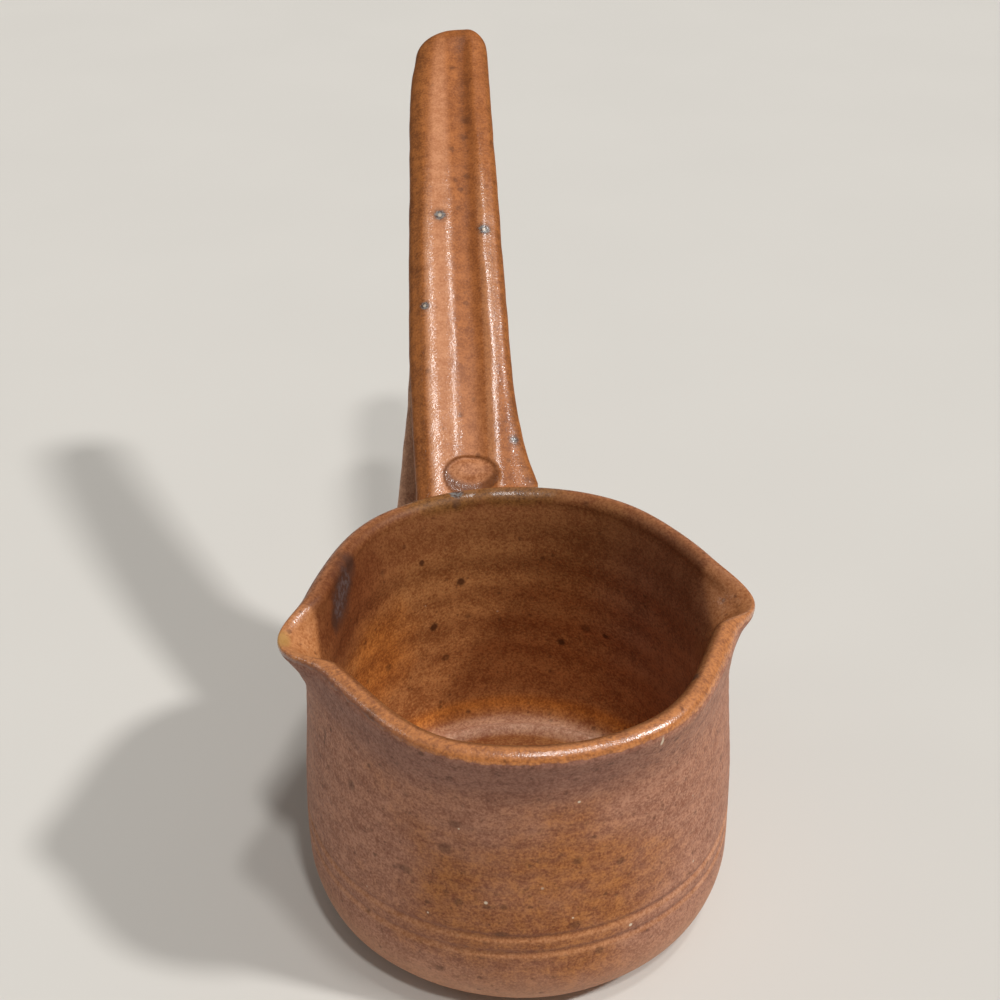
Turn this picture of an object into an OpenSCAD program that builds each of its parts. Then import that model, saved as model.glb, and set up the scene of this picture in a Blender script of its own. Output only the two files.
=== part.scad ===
// Butter warmer: a small wheel-thrown stoneware pot with two pulled pouring lips
// and one pulled strap handle, doubled over on itself into a long rising loop.
// Millimetres, +Z up. The origin is the centre of the foot, on the table.
// The lips lie to the left and right (X) and the handle goes to the back (+Y).

/* [Pot] */
// Height of the rim above the table
pot_h = 70.5; // [55:0.5:95]
// Widest diameter of the belly, low on the wall
belly_d = 91; // [76:0.5:120]
// Diameter at the waist, below the rim
neck_d = 87.4; // [72:0.5:114]
// Outer diameter of the rim
rim_d = 92; // [76:0.5:120]
// Height of the widest place of the belly
belly_h = 17; // [14:0.5:24]
// Depth of the waist below the rim
neck_drop = 15; // [9:0.5:20]
// Thickness of the wall
wall_t = 4.4; // [3:0.1:7]
// Height of the inner floor at its centre
floor_h = 9; // [7.5:0.1:13]

/* [Foot] */
// Outer diameter of the trimmed foot ring
foot_d = 78; // [60:0.5:79]
// Width of the foot ring
foot_w = 6; // [3:0.5:9]
// Height of the foot ring
foot_h = 2.4; // [1:0.1:4]

/* [Wall turns and lines] */
// Height of the turned-in curve at the foot
turn_h = 10.5; // [6:0.5:13]
// How far the wall turns in at the foot
turn_w = 5.6; // [3:0.1:9]
// Width of the inner curve between wall and floor
bowl_w = 4.5; // [3:0.5:20]
// Height of the inner curve between wall and floor
bowl_h = 7; // [4:0.5:20]
// Height of the upper scored line
line_h = 24.2; // [21:0.1:32]
// Distance between the two scored lines
line_pitch = 4.2; // [2.8:0.1:6]
// Depth of a scored line
line_deep = 0.35; // [0.1:0.05:1]

/* [Pouring lips] */
// How far a lip is pulled out past the rim
lip_reach = 4.3; // [0:0.1:9]
// How far the left lip hangs below the rim
left_droop = 1.9; // [0:0.1:6]
// How far the right lip hangs below the rim
right_droop = 3.2; // [0:0.1:6]
// Half of the angle that a lip takes up at the rim
lip_span = 17.5; // [9:0.5:26]
// How far down the wall the pull of a lip reaches
lip_fade = 15.5; // [9:0.5:30]
// How far the rim is pressed in before the left lip, seen from the front
left_pinch = 3.6; // [0:0.1:5]
// How far the rim is pressed in behind the left lip
left_pinch_back = 2.8; // [0:0.1:5]
// How far the rim is pressed in before the right lip
right_pinch = 3.2; // [0:0.1:5]
// How far the rim is pressed in behind the right lip
right_pinch_back = 1.4; // [0:0.1:5]
// Angle between a lip and the middle of the pressed place beside it
pinch_off = 26.5; // [18:0.5:34]
// Half of the angle that a pressed place takes up
pinch_span = 37; // [24:0.5:40]
// How far down the wall a pressed place reaches
pinch_fade = 37; // [20:0.5:45]
// Angle by which the left lip leans from the side to the front
left_lean = 6.5; // [-10:0.5:15]
// Angle by which the right lip leans from the side to the front
right_lean = -0.5; // [-10:0.5:15]

/* [Handle] */
// Length of the handle from the rim to its tip
handle_len = 132.5; // [80:1:170]
// Angle at which the handle rises
handle_rise = 34; // [15:0.5:50]
// Width of the strap at the rim
strap_w = 24.4; // [16:0.1:30]
// Width of the strap near the tip
tip_w = 20.6; // [14:0.1:28]
// Thickness of the strap at its ridges
strap_t = 5.8; // [4:0.1:9]
// Depth of the thumb trough along the strap
trough = 0.95; // [0:0.05:1.6]
// Height of the ridge along the left of the strap
ridge = 0.45; // [0:0.05:0.9]
// Height of the arch in the length of the handle
handle_arch = 2.5; // [0:0.1:6]
// Depth of the strap's face below the top of the rim where they join
root_drop = 1.2; // [0:0.1:6]
// Height of the lower root on the wall
lower_root_h = 37; // [30:0.5:44]
// Length of the open part of the loop, from the rim
loop_len = 42; // [28:0.5:60]
// Sideways place of the root, left of the middle
root_side = 7.2; // [-10:0.1:10]
// Angle by which the handle is turned to the right
handle_turn = 2.65; // [-8:0.05:8]
// How far the left edge of the tip is drawn back, which rounds it
tip_round_left = 5.9; // [0:0.1:7]
// How far the right edge of the tip is drawn back
tip_round_right = 2.7; // [0:0.1:5]
// Width that the clay spreads at each side of the lower root
lower_flare = 7.4; // [0:0.1:10]
// Width that the clay spreads at the right of the upper root
upper_flare = 4.6; // [0:0.1:9]
// How far the left edge of the strap draws in at the upper root
root_waist = 1.2; // [0:0.1:3]

/* [Seal] */
// Length of the oval seal hollow, across the strap
seal_w = 13; // [8:0.5:15]
// Height of the oval seal hollow, along the strap
seal_h = 8.2; // [5:0.2:11]
// Depth of the seal hollow below the trough
seal_deep = 0.6; // [0.2:0.05:1]
// Distance of the seal hollow from the rim
seal_off = 0.5; // [0.5:0.1:20]
// Place of the seal hollow, right of the middle of the strap
seal_side = 2; // [-3:0.1:3]

/* [Hidden] */

// Clearance between the cut root of the handle and the wall it is luted to
root_gap = 0.08;
// Clearance between the two runs of the doubled strap
fold_gap = 0.2;

// Steps round the pot, and round and along the strap
pot_steps = 88;
strap_steps = 20;
root_steps = 6;
run_steps = 22;
fold_steps = 9;
bend_steps = 16;

belly_r = belly_d / 2;
neck_r = neck_d / 2;
rim_r = rim_d / 2;
foot_r = foot_d / 2;
neck_h = pot_h - neck_drop;
// Half of the rim's thickness, and the height of its rounded top
rim_half = wall_t * 0.54;
rim_round = wall_t * 0.6;
rim_edge_h = pot_h - rim_round;
// How far the wall leans in below the belly, half the width of a scored line, and
// the depth of the lower line beside the upper one
skirt_in = 0.6;
line_half = 1.3;
lower_line = 0.9;
// How much further the inner side of a lip is pulled out, and the height and place
// of the low ring that the fingertips left on the floor, as parts of its radius
lip_thin = 0.45;
floor_ring = 0.9;
floor_ring_at = 0.93;
floor_ring_half = 0.07;
// Degrees by which the points round the pot crowd towards the lips
lip_crowding = 10;
bowl_top = floor_h + bowl_h;

function ease(t) = t * t * (3 - 2 * t);
function clamp01(t) = min(1, max(0, t));
function mix(a, b, t) = a + (b - a) * t;
// A bump one unit high that dies away at half its width
function bump(x, half) = abs(x) >= half ? 0 : (1 + cos(180 * x / half)) / 2;
// The turn from angle b to angle a, the shorter way round, left turns positive
function turn_between(a, b) = ((a - b + 540) % 360) - 180;

// Radius of the outer wall and rim, without lips or scored lines
function wall_r(z) =
    z < foot_h + turn_h
        ? belly_r - turn_w * (1 - sqrt(1 - pow(1 - clamp01((z - foot_h) / turn_h), 2)))
            - skirt(z)
    : z < belly_h ? belly_r - skirt(z)
    : z < neck_h ? mix(belly_r, neck_r, ease((z - belly_h) / (neck_h - belly_h)))
    : z < rim_edge_h ? mix(neck_r, rim_r, pow((z - neck_h) / (rim_edge_h - neck_h), 1.6))
    : rim_r - rim_half * (1 - sqrt(1 - pow(clamp01((z - rim_edge_h) / rim_round), 2)));
// The wall below the belly leans in a little towards the foot
function skirt(z) = skirt_in * pow(clamp01((belly_h - z) / belly_h), 2);
function scored(z) = -line_deep * (bump(z - line_h, line_half)
    + lower_line * bump(z - line_h + line_pitch, line_half));

// Pull of one lip, centred at angle c, at an angle a round the pot:
// [out at the lip, down at the lip, in at the pressed places beside it]
function lip_at(a, c, droop, pinch_right, pinch_left) =
    let (d = turn_between(a, c))
    [lip_reach * bump(d, lip_span), droop * bump(d, lip_span),
     pinch_right * bump(d + pinch_off, pinch_span) + pinch_left * bump(d - pinch_off, pinch_span)];
function lips(a) = lip_at(a, -right_lean, right_droop, right_pinch, right_pinch_back)
    + lip_at(a, 180 + left_lean, left_droop, left_pinch_back, left_pinch);
function lip_fade_at(z) = pow(clamp01((z - pot_h + lip_fade) / lip_fade), 2);
function pinch_fade_at(z) = pow(clamp01((z - pot_h + pinch_fade) / pinch_fade), 2);
// A point of the thrown form, moved by the lips; the inner side, where inner is 1,
// is pulled out further, so that a lip is thinner than the rim
function thrown(r, z, a, inner) =
    let (
        pull = lips(a),
        out = pull[0] * (1 + lip_thin * inner) * lip_fade_at(z),
        rr = r + out - pull[2] * pinch_fade_at(z)
    )
    [rr * cos(a), rr * sin(a), z - pull[1] * lip_fade_at(z)];

// Angles round the pot, closer together at the two lips
function closer_at_lips(a) = a - lip_crowding * sin(2 * a);

// Stations [radius, height, inner] from the foot over the rim to the floor
turn_rows = [for (i = [0:6]) foot_h + turn_h * (1 - cos(90 * i / 6))];
line_rows = [for (k = [1, 0]) for (d = [-1, 0, 1]) line_h - k * line_pitch + d * line_half];
upper_rows = [for (i = [1:11])
    mix(line_h + line_half, rim_edge_h, i / 11)];
outer_side = [for (z = concat(turn_rows, line_rows, upper_rows)) [wall_r(z) + scored(z), z, 0]];
rim_top = [for (i = [1:7]) let (a = 180 * i / 8)
    [rim_r - rim_half + rim_half * cos(a), rim_edge_h + rim_round * sin(a), (1 - cos(a)) / 2]];
function inner_r(z) = wall_r(max(z, belly_h)) - mix(wall_t + 1, 2 * rim_half,
    clamp01((z - bowl_top) / (rim_edge_h - bowl_top)));
inner_side = [for (i = [0:8]) let (z = mix(rim_edge_h, bowl_top, i / 8)) [inner_r(z), z, 1]];
bowl_r = inner_r(bowl_top);
inner_bowl = [for (i = [1:7]) let (a = 90 * i / 7)
    [bowl_r - bowl_w * (1 - cos(a)), bowl_top - bowl_h * sin(a), 1]];
floor_r = bowl_r - bowl_w;
inner_floor = [for (r = [0.965, 0.93, 0.895, 0.86, 0.55, 0.25])
    [floor_r * r, floor_h + floor_ring * bump(r - floor_ring_at, floor_ring_half), 1]];
stations = concat(outer_side, rim_top, inner_side, inner_bowl, inner_floor);

// The faces between rings of points, all rings of the same number of points
function side_faces(rings, points) =
    [for (j = [0:rings - 2]) for (k = [0:points - 1])
        let (n = (k + 1) % points)
        each [
            [j * points + k, (j + 1) * points + k, (j + 1) * points + n],
            [j * points + k, (j + 1) * points + n, j * points + n]
        ]];

module thrown_form() {
    rings = [for (s = stations) [for (k = [0:pot_steps - 1])
        thrown(s[0], s[1], closer_at_lips(360 * k / pot_steps), s[2])]];
    last = len(rings) * pot_steps - 1;
    polyhedron([for (ring = rings) each ring], concat(
        [[for (k = [0:pot_steps - 1]) k]],
        side_faces(len(rings), pot_steps),
        [[for (k = [0:pot_steps - 1]) last - k]]
    ), convexity = 8);
}

// The ring that the pot stands on, with both edges eased
module foot_ring() {
    ease_w = 0.7;
    inner = foot_r - foot_w;
    top = foot_h + 2;
    rotate_extrude($fn = pot_steps)
        polygon([
            [inner, top], [inner, ease_w], [inner + ease_w, 0],
            [foot_r - ease_w, 0], [foot_r, ease_w], [foot_r, top]
        ]);
}

module pot() {
    color("#A5633C") union() {
        thrown_form();
        foot_ring();
    }
}

// The handle's own plane: y goes out from the wall, z goes up
root_y = sqrt(pow(rim_r, 2) - pow(root_side, 2));
along = [cos(handle_rise), sin(handle_rise)];
across = [-sin(handle_rise), cos(handle_rise)];
pitch = strap_t + fold_gap;
// Where the straight part of the strap starts, out from the rim
run_start = 2.5;
// Lengths over which the strap draws in at the left of the upper root, and over
// which it spreads at the lower and at the upper root
waist_run = 34;
lower_spread_run = 60;
upper_spread_run = 40;
// Places across the strap go from -1 at its left edge to 1 at its right. The middle of
// the trough and the width of its left and right sides, at the root and at the tip
trough_at = [0.25, 0.37];
trough_left = [0.43, 0.62];
trough_right = [0.4, 0.24];
// Place of the ridge, and its width to the left and to the right
ridge_at = -0.69;
ridge_halves = [0.17, 0.52];
// Trough and ridge die away over this length where the strap turns over, and this
// much of the trough stays
shape_fade = 8;
trough_stays = 0.12;
// Middle of the strap's thickness where its face meets the rim
root_mid = [0, pot_h - root_drop] - across * strap_t / 2;
run_end = handle_len - pitch / 2;
function arch(s) = handle_arch * sin(180 * clamp01(s / run_end));
function front_mid(s) = root_mid + along * s + across * arch(s);
function back_mid(s) = front_mid(s) - across * pitch;
function bezier(p, t) = pow(1 - t, 3) * p[0] + 3 * pow(1 - t, 2) * t * p[1]
    + 3 * (1 - t) * t * t * p[2] + pow(t, 3) * p[3];

// Where the back run leaves the front one, and where it meets the wall
lower_end = [2.5, lower_root_h];
bend = [
    back_mid(loop_len),
    back_mid(loop_len) - along * loop_len * 0.42,
    lower_end + [loop_len * 0.45, loop_len * 0.1],
    lower_end
];

// Middle line of the strap, from the rim to the tip and back to the wall
front_line = [for (i = [0:run_steps]) front_mid(mix(run_start, run_end, i / run_steps))];
fold_mid = (front_mid(run_end) + back_mid(run_end)) / 2;
fold_line = [for (i = [1:fold_steps]) let (a = 180 * i / (fold_steps + 1))
    fold_mid + across * pitch / 2 * cos(a) + along * pitch / 2 * sin(a)];
back_line = [for (i = [0:run_steps - 8]) back_mid(mix(run_end, loop_len, i / (run_steps - 8)))];
bend_line = [for (i = [1:bend_steps]) bezier(bend, i / bend_steps)];
strap_line = concat(front_line, fold_line, back_line, bend_line);
line_count = len(strap_line);

// Length of the strap up to each point of its middle line
steps_between = [for (i = [0:line_count - 1])
    i == 0 ? 0 : norm(strap_line[i] - strap_line[i - 1])];
function running(v, i = 0, sum = 0) = i >= len(v) ? []
    : concat([sum + v[i]], running(v, i + 1, sum + v[i]));
strap_run = running(steps_between);
tip_run = strap_run[run_steps] + (strap_run[run_steps + fold_steps + 1] - strap_run[run_steps]) / 2;
end_run = strap_run[line_count - 1];

// Depth and length of the cut at each corner of the tip
left_corner = [2.4, 38];
right_corner = [1.1, 7.2];
function corner_cut(d, c) = c[0] * pow(clamp01(1 - d / c[1]), 2.3);
// Half widths of the strap to its left and right, and its thickness
function half_w(s) = mix(strap_w, tip_w, ease(clamp01(s / tip_run))) / 2;
function left_w(s) = s < tip_run
    ? half_w(s) - corner_cut(tip_run - s, left_corner) - root_waist * pow(clamp01(1 - s / waist_run), 1.5)
    : half_w(2 * tip_run - s) - corner_cut(s - tip_run, left_corner)
        + lower_spread(s);
function right_w(s) = s < tip_run
    ? half_w(s) - corner_cut(tip_run - s, right_corner)
    : half_w(2 * tip_run - s) - corner_cut(s - tip_run, right_corner)
        + lower_spread(s);
function lower_spread(s) = lower_flare * pow(clamp01(1 - (end_run - s) / lower_spread_run), 1.3);
function upper_spread(s) = upper_flare * pow(clamp01(1 - s / upper_spread_run), 2.9);

// The place across the strap where its tip reaches out furthest, and the length over
// which the places beside it are drawn back
tip_high = 0.5;
tip_round_run = 26;
function tip_back(q, s) = bump(s - tip_run, tip_round_run) * (q < tip_high
    ? tip_round_left * pow((tip_high - q) / (1 + tip_high), 2.2)
    : tip_round_right * pow((q - tip_high) / (1 - tip_high), 2.2));

// Height of the outer face at a place across the strap: a flattened round with the
// ridge and the thumb trough
function outer_face(q, s) =
    let (
        to_tip = pow(clamp01(s / tip_run), 2),
        shaped = 1 - clamp01((s - tip_run) / shape_fade + 1),
        x = q - mix(trough_at[0], trough_at[1], to_tip),
        side = x < 0 ? trough_left : trough_right,
        dip = trough * mix(trough_stays, 1, shaped) * bump(x, mix(side[0], side[1], to_tip))
    )
    strap_t / 2 * sqrt(max(0, 1 - pow(abs(q), 5))) - dip
        + ridge * shaped * bump(q - ridge_at, q < ridge_at ? ridge_halves[0] : ridge_halves[1]);
function inner_face(q) = -strap_t / 2 * sqrt(max(0, 1 - pow(abs(q), 9)));

// One cross-section: for each place, how far it lies to the side, how high its face is,
// and how far it is drawn back. The inner face is flat.
function section(s) =
    let (
        w = [left_w(s), right_w(s)],
        wing = upper_spread(s)
    )
    [for (k = [0:2 * strap_steps - 1]) let (q = -cos(180 * k / strap_steps))
        [q < 0 ? q * w[0] : q * w[1] + wing * pow(q, 4),
         k <= strap_steps ? outer_face(q, s) : inner_face(q),
         tip_back(q, s)]];

// Direction of the strap at a point of its middle line
function heading(i) =
    let (d = strap_line[min(i + 1, line_count - 1)] - strap_line[max(i - 1, 0)])
    d / norm(d);
function placed(i) =
    let (t = heading(i), p = strap_line[i])
    [for (c = section(strap_run[i])) seated([
        c[0],
        p[0] - t[1] * c[1] - along[0] * c[2],
        p[1] + t[0] * c[1] - along[1] * c[2]
    ])];
// From the handle's plane to its place at the back of the pot
function turned(v) = [
    v[0] * cos(handle_turn) + v[1] * sin(handle_turn),
    v[1] * cos(handle_turn) - v[0] * sin(handle_turn),
    v[2]
];
function seated(p) = turned(p) + [-root_side, root_y, 0];
// A point moved along a direction until it lies on the wall of the pot
function landed(p, way, tries = 14) =
    let (miss = norm([p[0], p[1]]) - wall_at(p[2], atan2(p[1], p[0])) - root_gap)
    tries == 0 ? p : landed(p - way * miss / norm([way[0], way[1]]), way, tries - 1);
// Radius of the outer wall at a height and an angle, pressed places and all
function wall_at(z, a) = wall_r(z) - lips(a)[2] * pinch_fade_at(z);
upper_way = turned([0, along[0], along[1]]);
lower_way = turned([0, -heading(line_count - 1)[0], -heading(line_count - 1)[1]]);

// The cut root of the strap: rows of points between the outer and the inner face of
// its last ring, all on the wall, and the faces between them
function root_points(ring, way) = [for (k = [1:strap_steps - 1]) for (j = [1:root_steps - 1])
    landed(mix(ring[k], ring[2 * strap_steps - k], j / root_steps), way)];
function root_index(ring_at, rows_at, k, j) =
    j == 0 || k == 0 || k == strap_steps ? ring_at + k
    : j == root_steps ? ring_at + 2 * strap_steps - k
    : rows_at + (k - 1) * (root_steps - 1) + j - 1;
function root_faces(ring_at, rows_at) =
    [for (k = [0:strap_steps - 1]) for (j = [0:root_steps - 1])
        let (
            a = root_index(ring_at, rows_at, k, j),
            b = root_index(ring_at, rows_at, k + 1, j),
            c = root_index(ring_at, rows_at, k + 1, j + 1),
            d = root_index(ring_at, rows_at, k, j + 1)
        )
        each concat(
            k < strap_steps - 1 ? [[a, b, c]] : [],
            k > 0 ? [[a, c, d]] : []
        )];
function flipped(faces) = [for (f = faces) [f[2], f[1], f[0]]];

module strap() {
    upper_ring = [for (p = placed(0)) landed(p, upper_way)];
    lower_ring = [for (p = placed(line_count - 1)) landed(p, lower_way)];
    rings = concat([upper_ring], [for (i = [0:line_count - 1]) placed(i)], [lower_ring]);
    upper_rows = root_points(upper_ring, upper_way);
    lower_rows = root_points(lower_ring, lower_way);
    last_ring = (len(rings) - 1) * 2 * strap_steps;
    rows_at = len(rings) * 2 * strap_steps;
    polyhedron(concat([for (ring = rings) each ring], upper_rows, lower_rows), concat(
        root_faces(0, rows_at),
        side_faces(len(rings), 2 * strap_steps),
        flipped(root_faces(last_ring, rows_at + len(upper_rows)))
    ), convexity = 8);
}

// An oval hollow in the trough, just above the rim
module seal_hollow() {
    at = seal_h / 2 + seal_off;
    translate(seated([seal_side, front_mid(at)[0], front_mid(at)[1]]))
        rotate([0, 0, -handle_turn])
            rotate([handle_rise, 0, 0])
                translate([0, 0, strap_t / 2 - trough - seal_deep])
                    linear_extrude(strap_t)
                        polygon([for (a = [0:12:348])
                            [seal_w / 2 * cos(a), seal_h / 2 * sin(a)]]);
}

module handle() {
    color("#B5703F") difference() {
        strap();
        seal_hollow();
    }
}

pot();
handle();
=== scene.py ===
"""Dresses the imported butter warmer: a thrown stoneware pot and its doubled strap handle.

Laid out as an add-on: sizes and colours are properties, each piece has its own operator.
Metres, +Z up, the origin in the middle of the foot, the handle towards +Y.
"""

import math

import bpy
import numpy as np
from bpy.props import FloatProperty, FloatVectorProperty, PointerProperty
from mathutils import Matrix, Vector


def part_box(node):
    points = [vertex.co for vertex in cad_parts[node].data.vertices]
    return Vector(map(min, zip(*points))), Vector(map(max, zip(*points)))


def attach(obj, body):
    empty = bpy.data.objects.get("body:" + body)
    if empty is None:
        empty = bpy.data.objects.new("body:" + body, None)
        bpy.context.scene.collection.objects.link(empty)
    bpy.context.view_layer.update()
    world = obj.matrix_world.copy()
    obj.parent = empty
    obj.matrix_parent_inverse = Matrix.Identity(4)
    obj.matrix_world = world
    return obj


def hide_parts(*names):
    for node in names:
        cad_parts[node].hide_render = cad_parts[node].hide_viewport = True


bl_info = {
    "name": "Butter warmer dresser",
    "version": (1, 0, 0),
    "blender": (4, 5, 0),
    "location": "3D View > Sidebar > Butter warmer",
    "description": "Glazed stoneware pot with pouring lips and a doubled strap handle",
    "category": "Object",
}

MM = 0.001
DEGREE = math.pi / 180

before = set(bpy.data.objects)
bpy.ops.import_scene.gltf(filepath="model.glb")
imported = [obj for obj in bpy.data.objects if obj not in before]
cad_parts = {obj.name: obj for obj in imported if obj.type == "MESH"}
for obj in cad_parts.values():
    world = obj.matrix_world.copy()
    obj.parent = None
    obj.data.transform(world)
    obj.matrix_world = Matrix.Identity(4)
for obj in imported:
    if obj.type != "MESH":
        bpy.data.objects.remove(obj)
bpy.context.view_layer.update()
POT_LOW, POT_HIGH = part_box("pot")


def linear(hex_colour):
    """An sRGB colour written as #rrggbb, as linear red, green, blue and alpha."""
    parts = [int(hex_colour[i : i + 2], 16) / 255 for i in (1, 3, 5)]
    curve = [c / 12.92 if c <= 0.04045 else ((c + 0.055) / 1.055) ** 2.4 for c in parts]
    return (*curve, 1.0)


def length(name, description, mm):
    """A property that holds a length, given in millimetres."""
    return FloatProperty(name=name, description=description, default=mm * MM, unit="LENGTH", precision=5)


def turn(name, description, degrees):
    """A property that holds an angle, given in degrees."""
    return FloatProperty(name=name, description=description, default=degrees * DEGREE, subtype="ANGLE")


def colour(name, description, hex_colour):
    """A property that holds a colour, given as sRGB hex."""
    return FloatVectorProperty(
        name=name, description=description, default=linear(hex_colour), size=4, min=0, max=1, subtype="COLOR"
    )


class PotSizes(bpy.types.PropertyGroup):
    """Sizes of the thrown pot."""

    height: FloatProperty(
        name="Height", description="Height of the rim above the table", default=POT_HIGH.z, unit="LENGTH"
    )
    belly_d: length("Belly", "Widest diameter, low on the wall", 91)
    neck_d: length("Waist", "Diameter below the rim", 87.4)
    rim_d: length("Rim", "Outer diameter of the rim", 92)
    belly_h: length("Belly height", "Height of the widest place", 17)
    neck_drop: length("Waist depth", "Depth of the waist below the rim", 15)
    wall_t: length("Wall", "Thickness of the wall", 4.4)
    floor_h: length("Floor", "Height of the inner floor", 9)
    foot_d: length("Foot", "Outer diameter of the foot ring", 78)
    foot_w: length("Foot width", "Width of the foot ring", 6)
    foot_h: length("Foot height", "Height of the foot ring", 2.4)
    turn_h: length("Turned-in height", "Height of the curve at the foot", 10.5)
    turn_w: length("Turned-in width", "How far the wall turns in at the foot", 5.6)
    bowl_w: length("Bowl width", "Width of the curve between wall and floor", 4.5)
    bowl_h: length("Bowl height", "Height of the curve between wall and floor", 7)
    line_h: length("Scored line", "Height of the upper scored line", 24.2)
    line_pitch: length("Line pitch", "Distance between the scored lines", 4.2)
    line_deep: length("Line depth", "Depth of a scored line", 0.35)


class LipSizes(bpy.types.PropertyGroup):
    """Sizes of the two pulled lips."""

    reach: length("Reach", "How far a lip is pulled out", 4.3)
    left_droop: length("Left droop", "How far the left lip hangs", 1.9)
    right_droop: length("Right droop", "How far the right lip hangs", 3.2)
    span: turn("Span", "Half of the angle that a lip takes up", 17.5)
    fade: length("Fade", "How far down the wall a lip's pull reaches", 15.5)
    left_pinch: length("Left pinch", "How far the rim is pressed in before the left lip", 3.6)
    left_pinch_back: length("Left pinch behind", "How far it is pressed in behind the left lip", 2.8)
    right_pinch: length("Right pinch", "How far the rim is pressed in before the right lip", 3.2)
    right_pinch_back: length("Right pinch behind", "How far it is pressed in behind the right lip", 1.4)
    pinch_off: turn("Pinch place", "Angle between a lip and the pressed place", 26.5)
    pinch_span: turn("Pinch span", "Half of the angle of a pressed place", 37)
    pinch_fade: length("Pinch fade", "How far down the wall a pressed place reaches", 37)
    left_lean: turn("Left lean", "How far the left lip leans to the front", 6.5)
    right_lean: turn("Right lean", "How far the right lip leans to the front", -0.5)


class StrapSizes(bpy.types.PropertyGroup):
    """Sizes of the doubled strap handle."""

    reach: length("Length", "Length from the rim to the tip", 132.5)
    rise: turn("Rise", "Angle at which the handle rises", 34)
    width: length("Width", "Width at the rim", 24.4)
    tip_w: length("Tip width", "Width near the tip", 20.6)
    thick: length("Thickness", "Thickness of the strap", 5.8)
    trough: length("Trough", "Depth of the thumb trough", 0.95)
    ridge: length("Ridge", "Height of the ridge along the left", 0.45)
    arch: length("Arch", "Height of the arch in the handle's length", 2.5)
    root_drop: length("Root drop", "Depth of the face below the rim at the root", 1.2)
    lower_root_h: length("Lower root", "Height of the lower root on the wall", 37)
    loop: length("Loop", "Length of the open loop from the rim", 42)
    side: length("Side", "Place of the root, left of the middle", 7.2)
    turned: turn("Turned", "How far the handle is turned to the right", 2.65)
    lower_flare: length("Lower flare", "How far the lower root spreads", 7.4)
    upper_flare: length("Upper flare", "How far the upper root spreads at the right", 4.6)
    waist: length("Root waist", "How far the left edge draws in at the root", 1.2)
    seal_w: length("Seal length", "Length of the oval seal hollow", 13)
    seal_h: length("Seal height", "Height of the oval seal hollow", 9.9)
    seal_deep: length("Seal depth", "Depth of the seal hollow", 0.6)
    seal_off: length("Seal place", "Distance of the seal from the rim", -0.95)
    seal_side: length("Seal side", "Place of the seal, right of the middle", 1.5)


class GlazeColours(bpy.types.PropertyGroup):
    """Colours of the fired clay and its glazes."""

    pink: colour("Pink glaze", "Thin dry glaze outside, where it broke to pink", "#be886c")
    pink_dark: colour("Pink glaze, dark", "Mottling of the pink glaze", "#8a563f")
    gold: colour("Golden glaze", "Dry glaze flashed golden by the fire", "#ba7840")
    gold_dark: colour("Golden glaze, dark", "Mottling of the golden glaze", "#7c3f18")
    veil: colour("Veil", "Mauve brown glaze in the band under the rim", "#a0715e")
    veil_dark: colour("Veil, dark", "Mottling of the band", "#7a4c3b")
    amber: colour("Amber glaze", "Glossy glaze inside", "#be824e")
    amber_dark: colour("Amber glaze, dark", "Mottling of the glaze inside", "#885029")
    russet: colour("Russet glaze", "Reddish glaze behind the left lip", "#8e4e2b")
    russet_dark: colour("Russet glaze, dark", "Mottling of the russet glaze", "#5a2911")
    # Umber is painted shade: a duller, greyer tone laid where shade falls on the right inner wall.
    umber_shade: colour("Umber glaze", "Duller glaze at the right inside", "#a26e52")
    umber_shade_dark: colour("Umber glaze, dark", "Mottling of the umber glaze", "#724834")
    honey: colour("Honey glaze", "Bright glaze that ran together in the floor's corner", "#ca7d38")
    honey_dark: colour("Honey glaze, dark", "Mottling of the honey glaze", "#8e4e1e")
    # The floor ring's pale pink is partly its glaze and partly a painted sheen.
    ring: colour("Floor ring", "Pinkish glaze on the ring round the floor", "#ecc0a2")
    ring_dark: colour("Floor ring, dark", "Mottling of the ring", "#bc8464")
    rim: colour("Rim", "Glaze that broke to orange over the rim", "#c88049")
    rim_dark: colour("Rim, dark", "Freckles on the rim", "#8e5532")
    far_rim: colour("Far rim", "Browner glaze along the back of the rim", "#a66b46")
    far_rim_dark: colour("Far rim, dark", "Freckles along the back of the rim", "#744428")
    trough: colour("Trough", "Golden glaze in the handle's trough", "#b06a35")
    trough_dark: colour("Trough, dark", "Brown mottling in the trough", "#86491d")
    # The trough's dark line is pooled glaze, darkened further as painted shade.
    pooled_and_shaded: colour("Pooled glaze", "Thick dark glaze along the trough's steep side", "#673818")
    # The facet's pale pink is partly its glaze and partly a painted sheen.
    facet_sheen: colour("Facet", "Pinkish glaze on the handle's broad facet", "#cb8c62")
    facet_sheen_dark: colour("Facet, dark", "Mottling of the facet", "#ae6e45")
    margin: colour("Margin", "Brown glaze along the handle's edges", "#a4632f")
    margin_dark: colour("Margin, dark", "Mottling of the margins", "#74411c")
    # The lower run's pale tone is painted light, bounced on to its shaded underside.
    under: colour("Lower run", "Paler glaze on the strap's lower run", "#cc9c7c")
    under_dark: colour("Lower run, dark", "Mottling of the lower run", "#9c6e54")
    edge: colour("Thin edge", "Glaze worn thin over ridges and edges", "#d0905f")
    olive: colour("Olive glaze", "Thick glaze along the rim at the handle", "#8a5c2c")
    olive_dark: colour("Olive glaze, dark", "Mottling of the olive glaze", "#553413")
    clay: colour("Scored clay", "Pale clay along the scored lines", "#d09a76")
    iron: colour("Iron speck", "Iron that bled through the glaze", "#4c2813")
    slag: colour("Iron slag", "Blue-grey melted iron", "#777470")
    scorch: colour("Scorch", "Dark scorch from the fire", "#4a2f24")
    smoke: colour("Smoke", "Blue-grey smoke in the scorch's middle", "#665552")
    ash: colour("Ash", "Yellow ash at the left lip", "#b08a48")
    pale: colour("Pale speck", "Grains of pale grit", "#e2cfb5")


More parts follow.
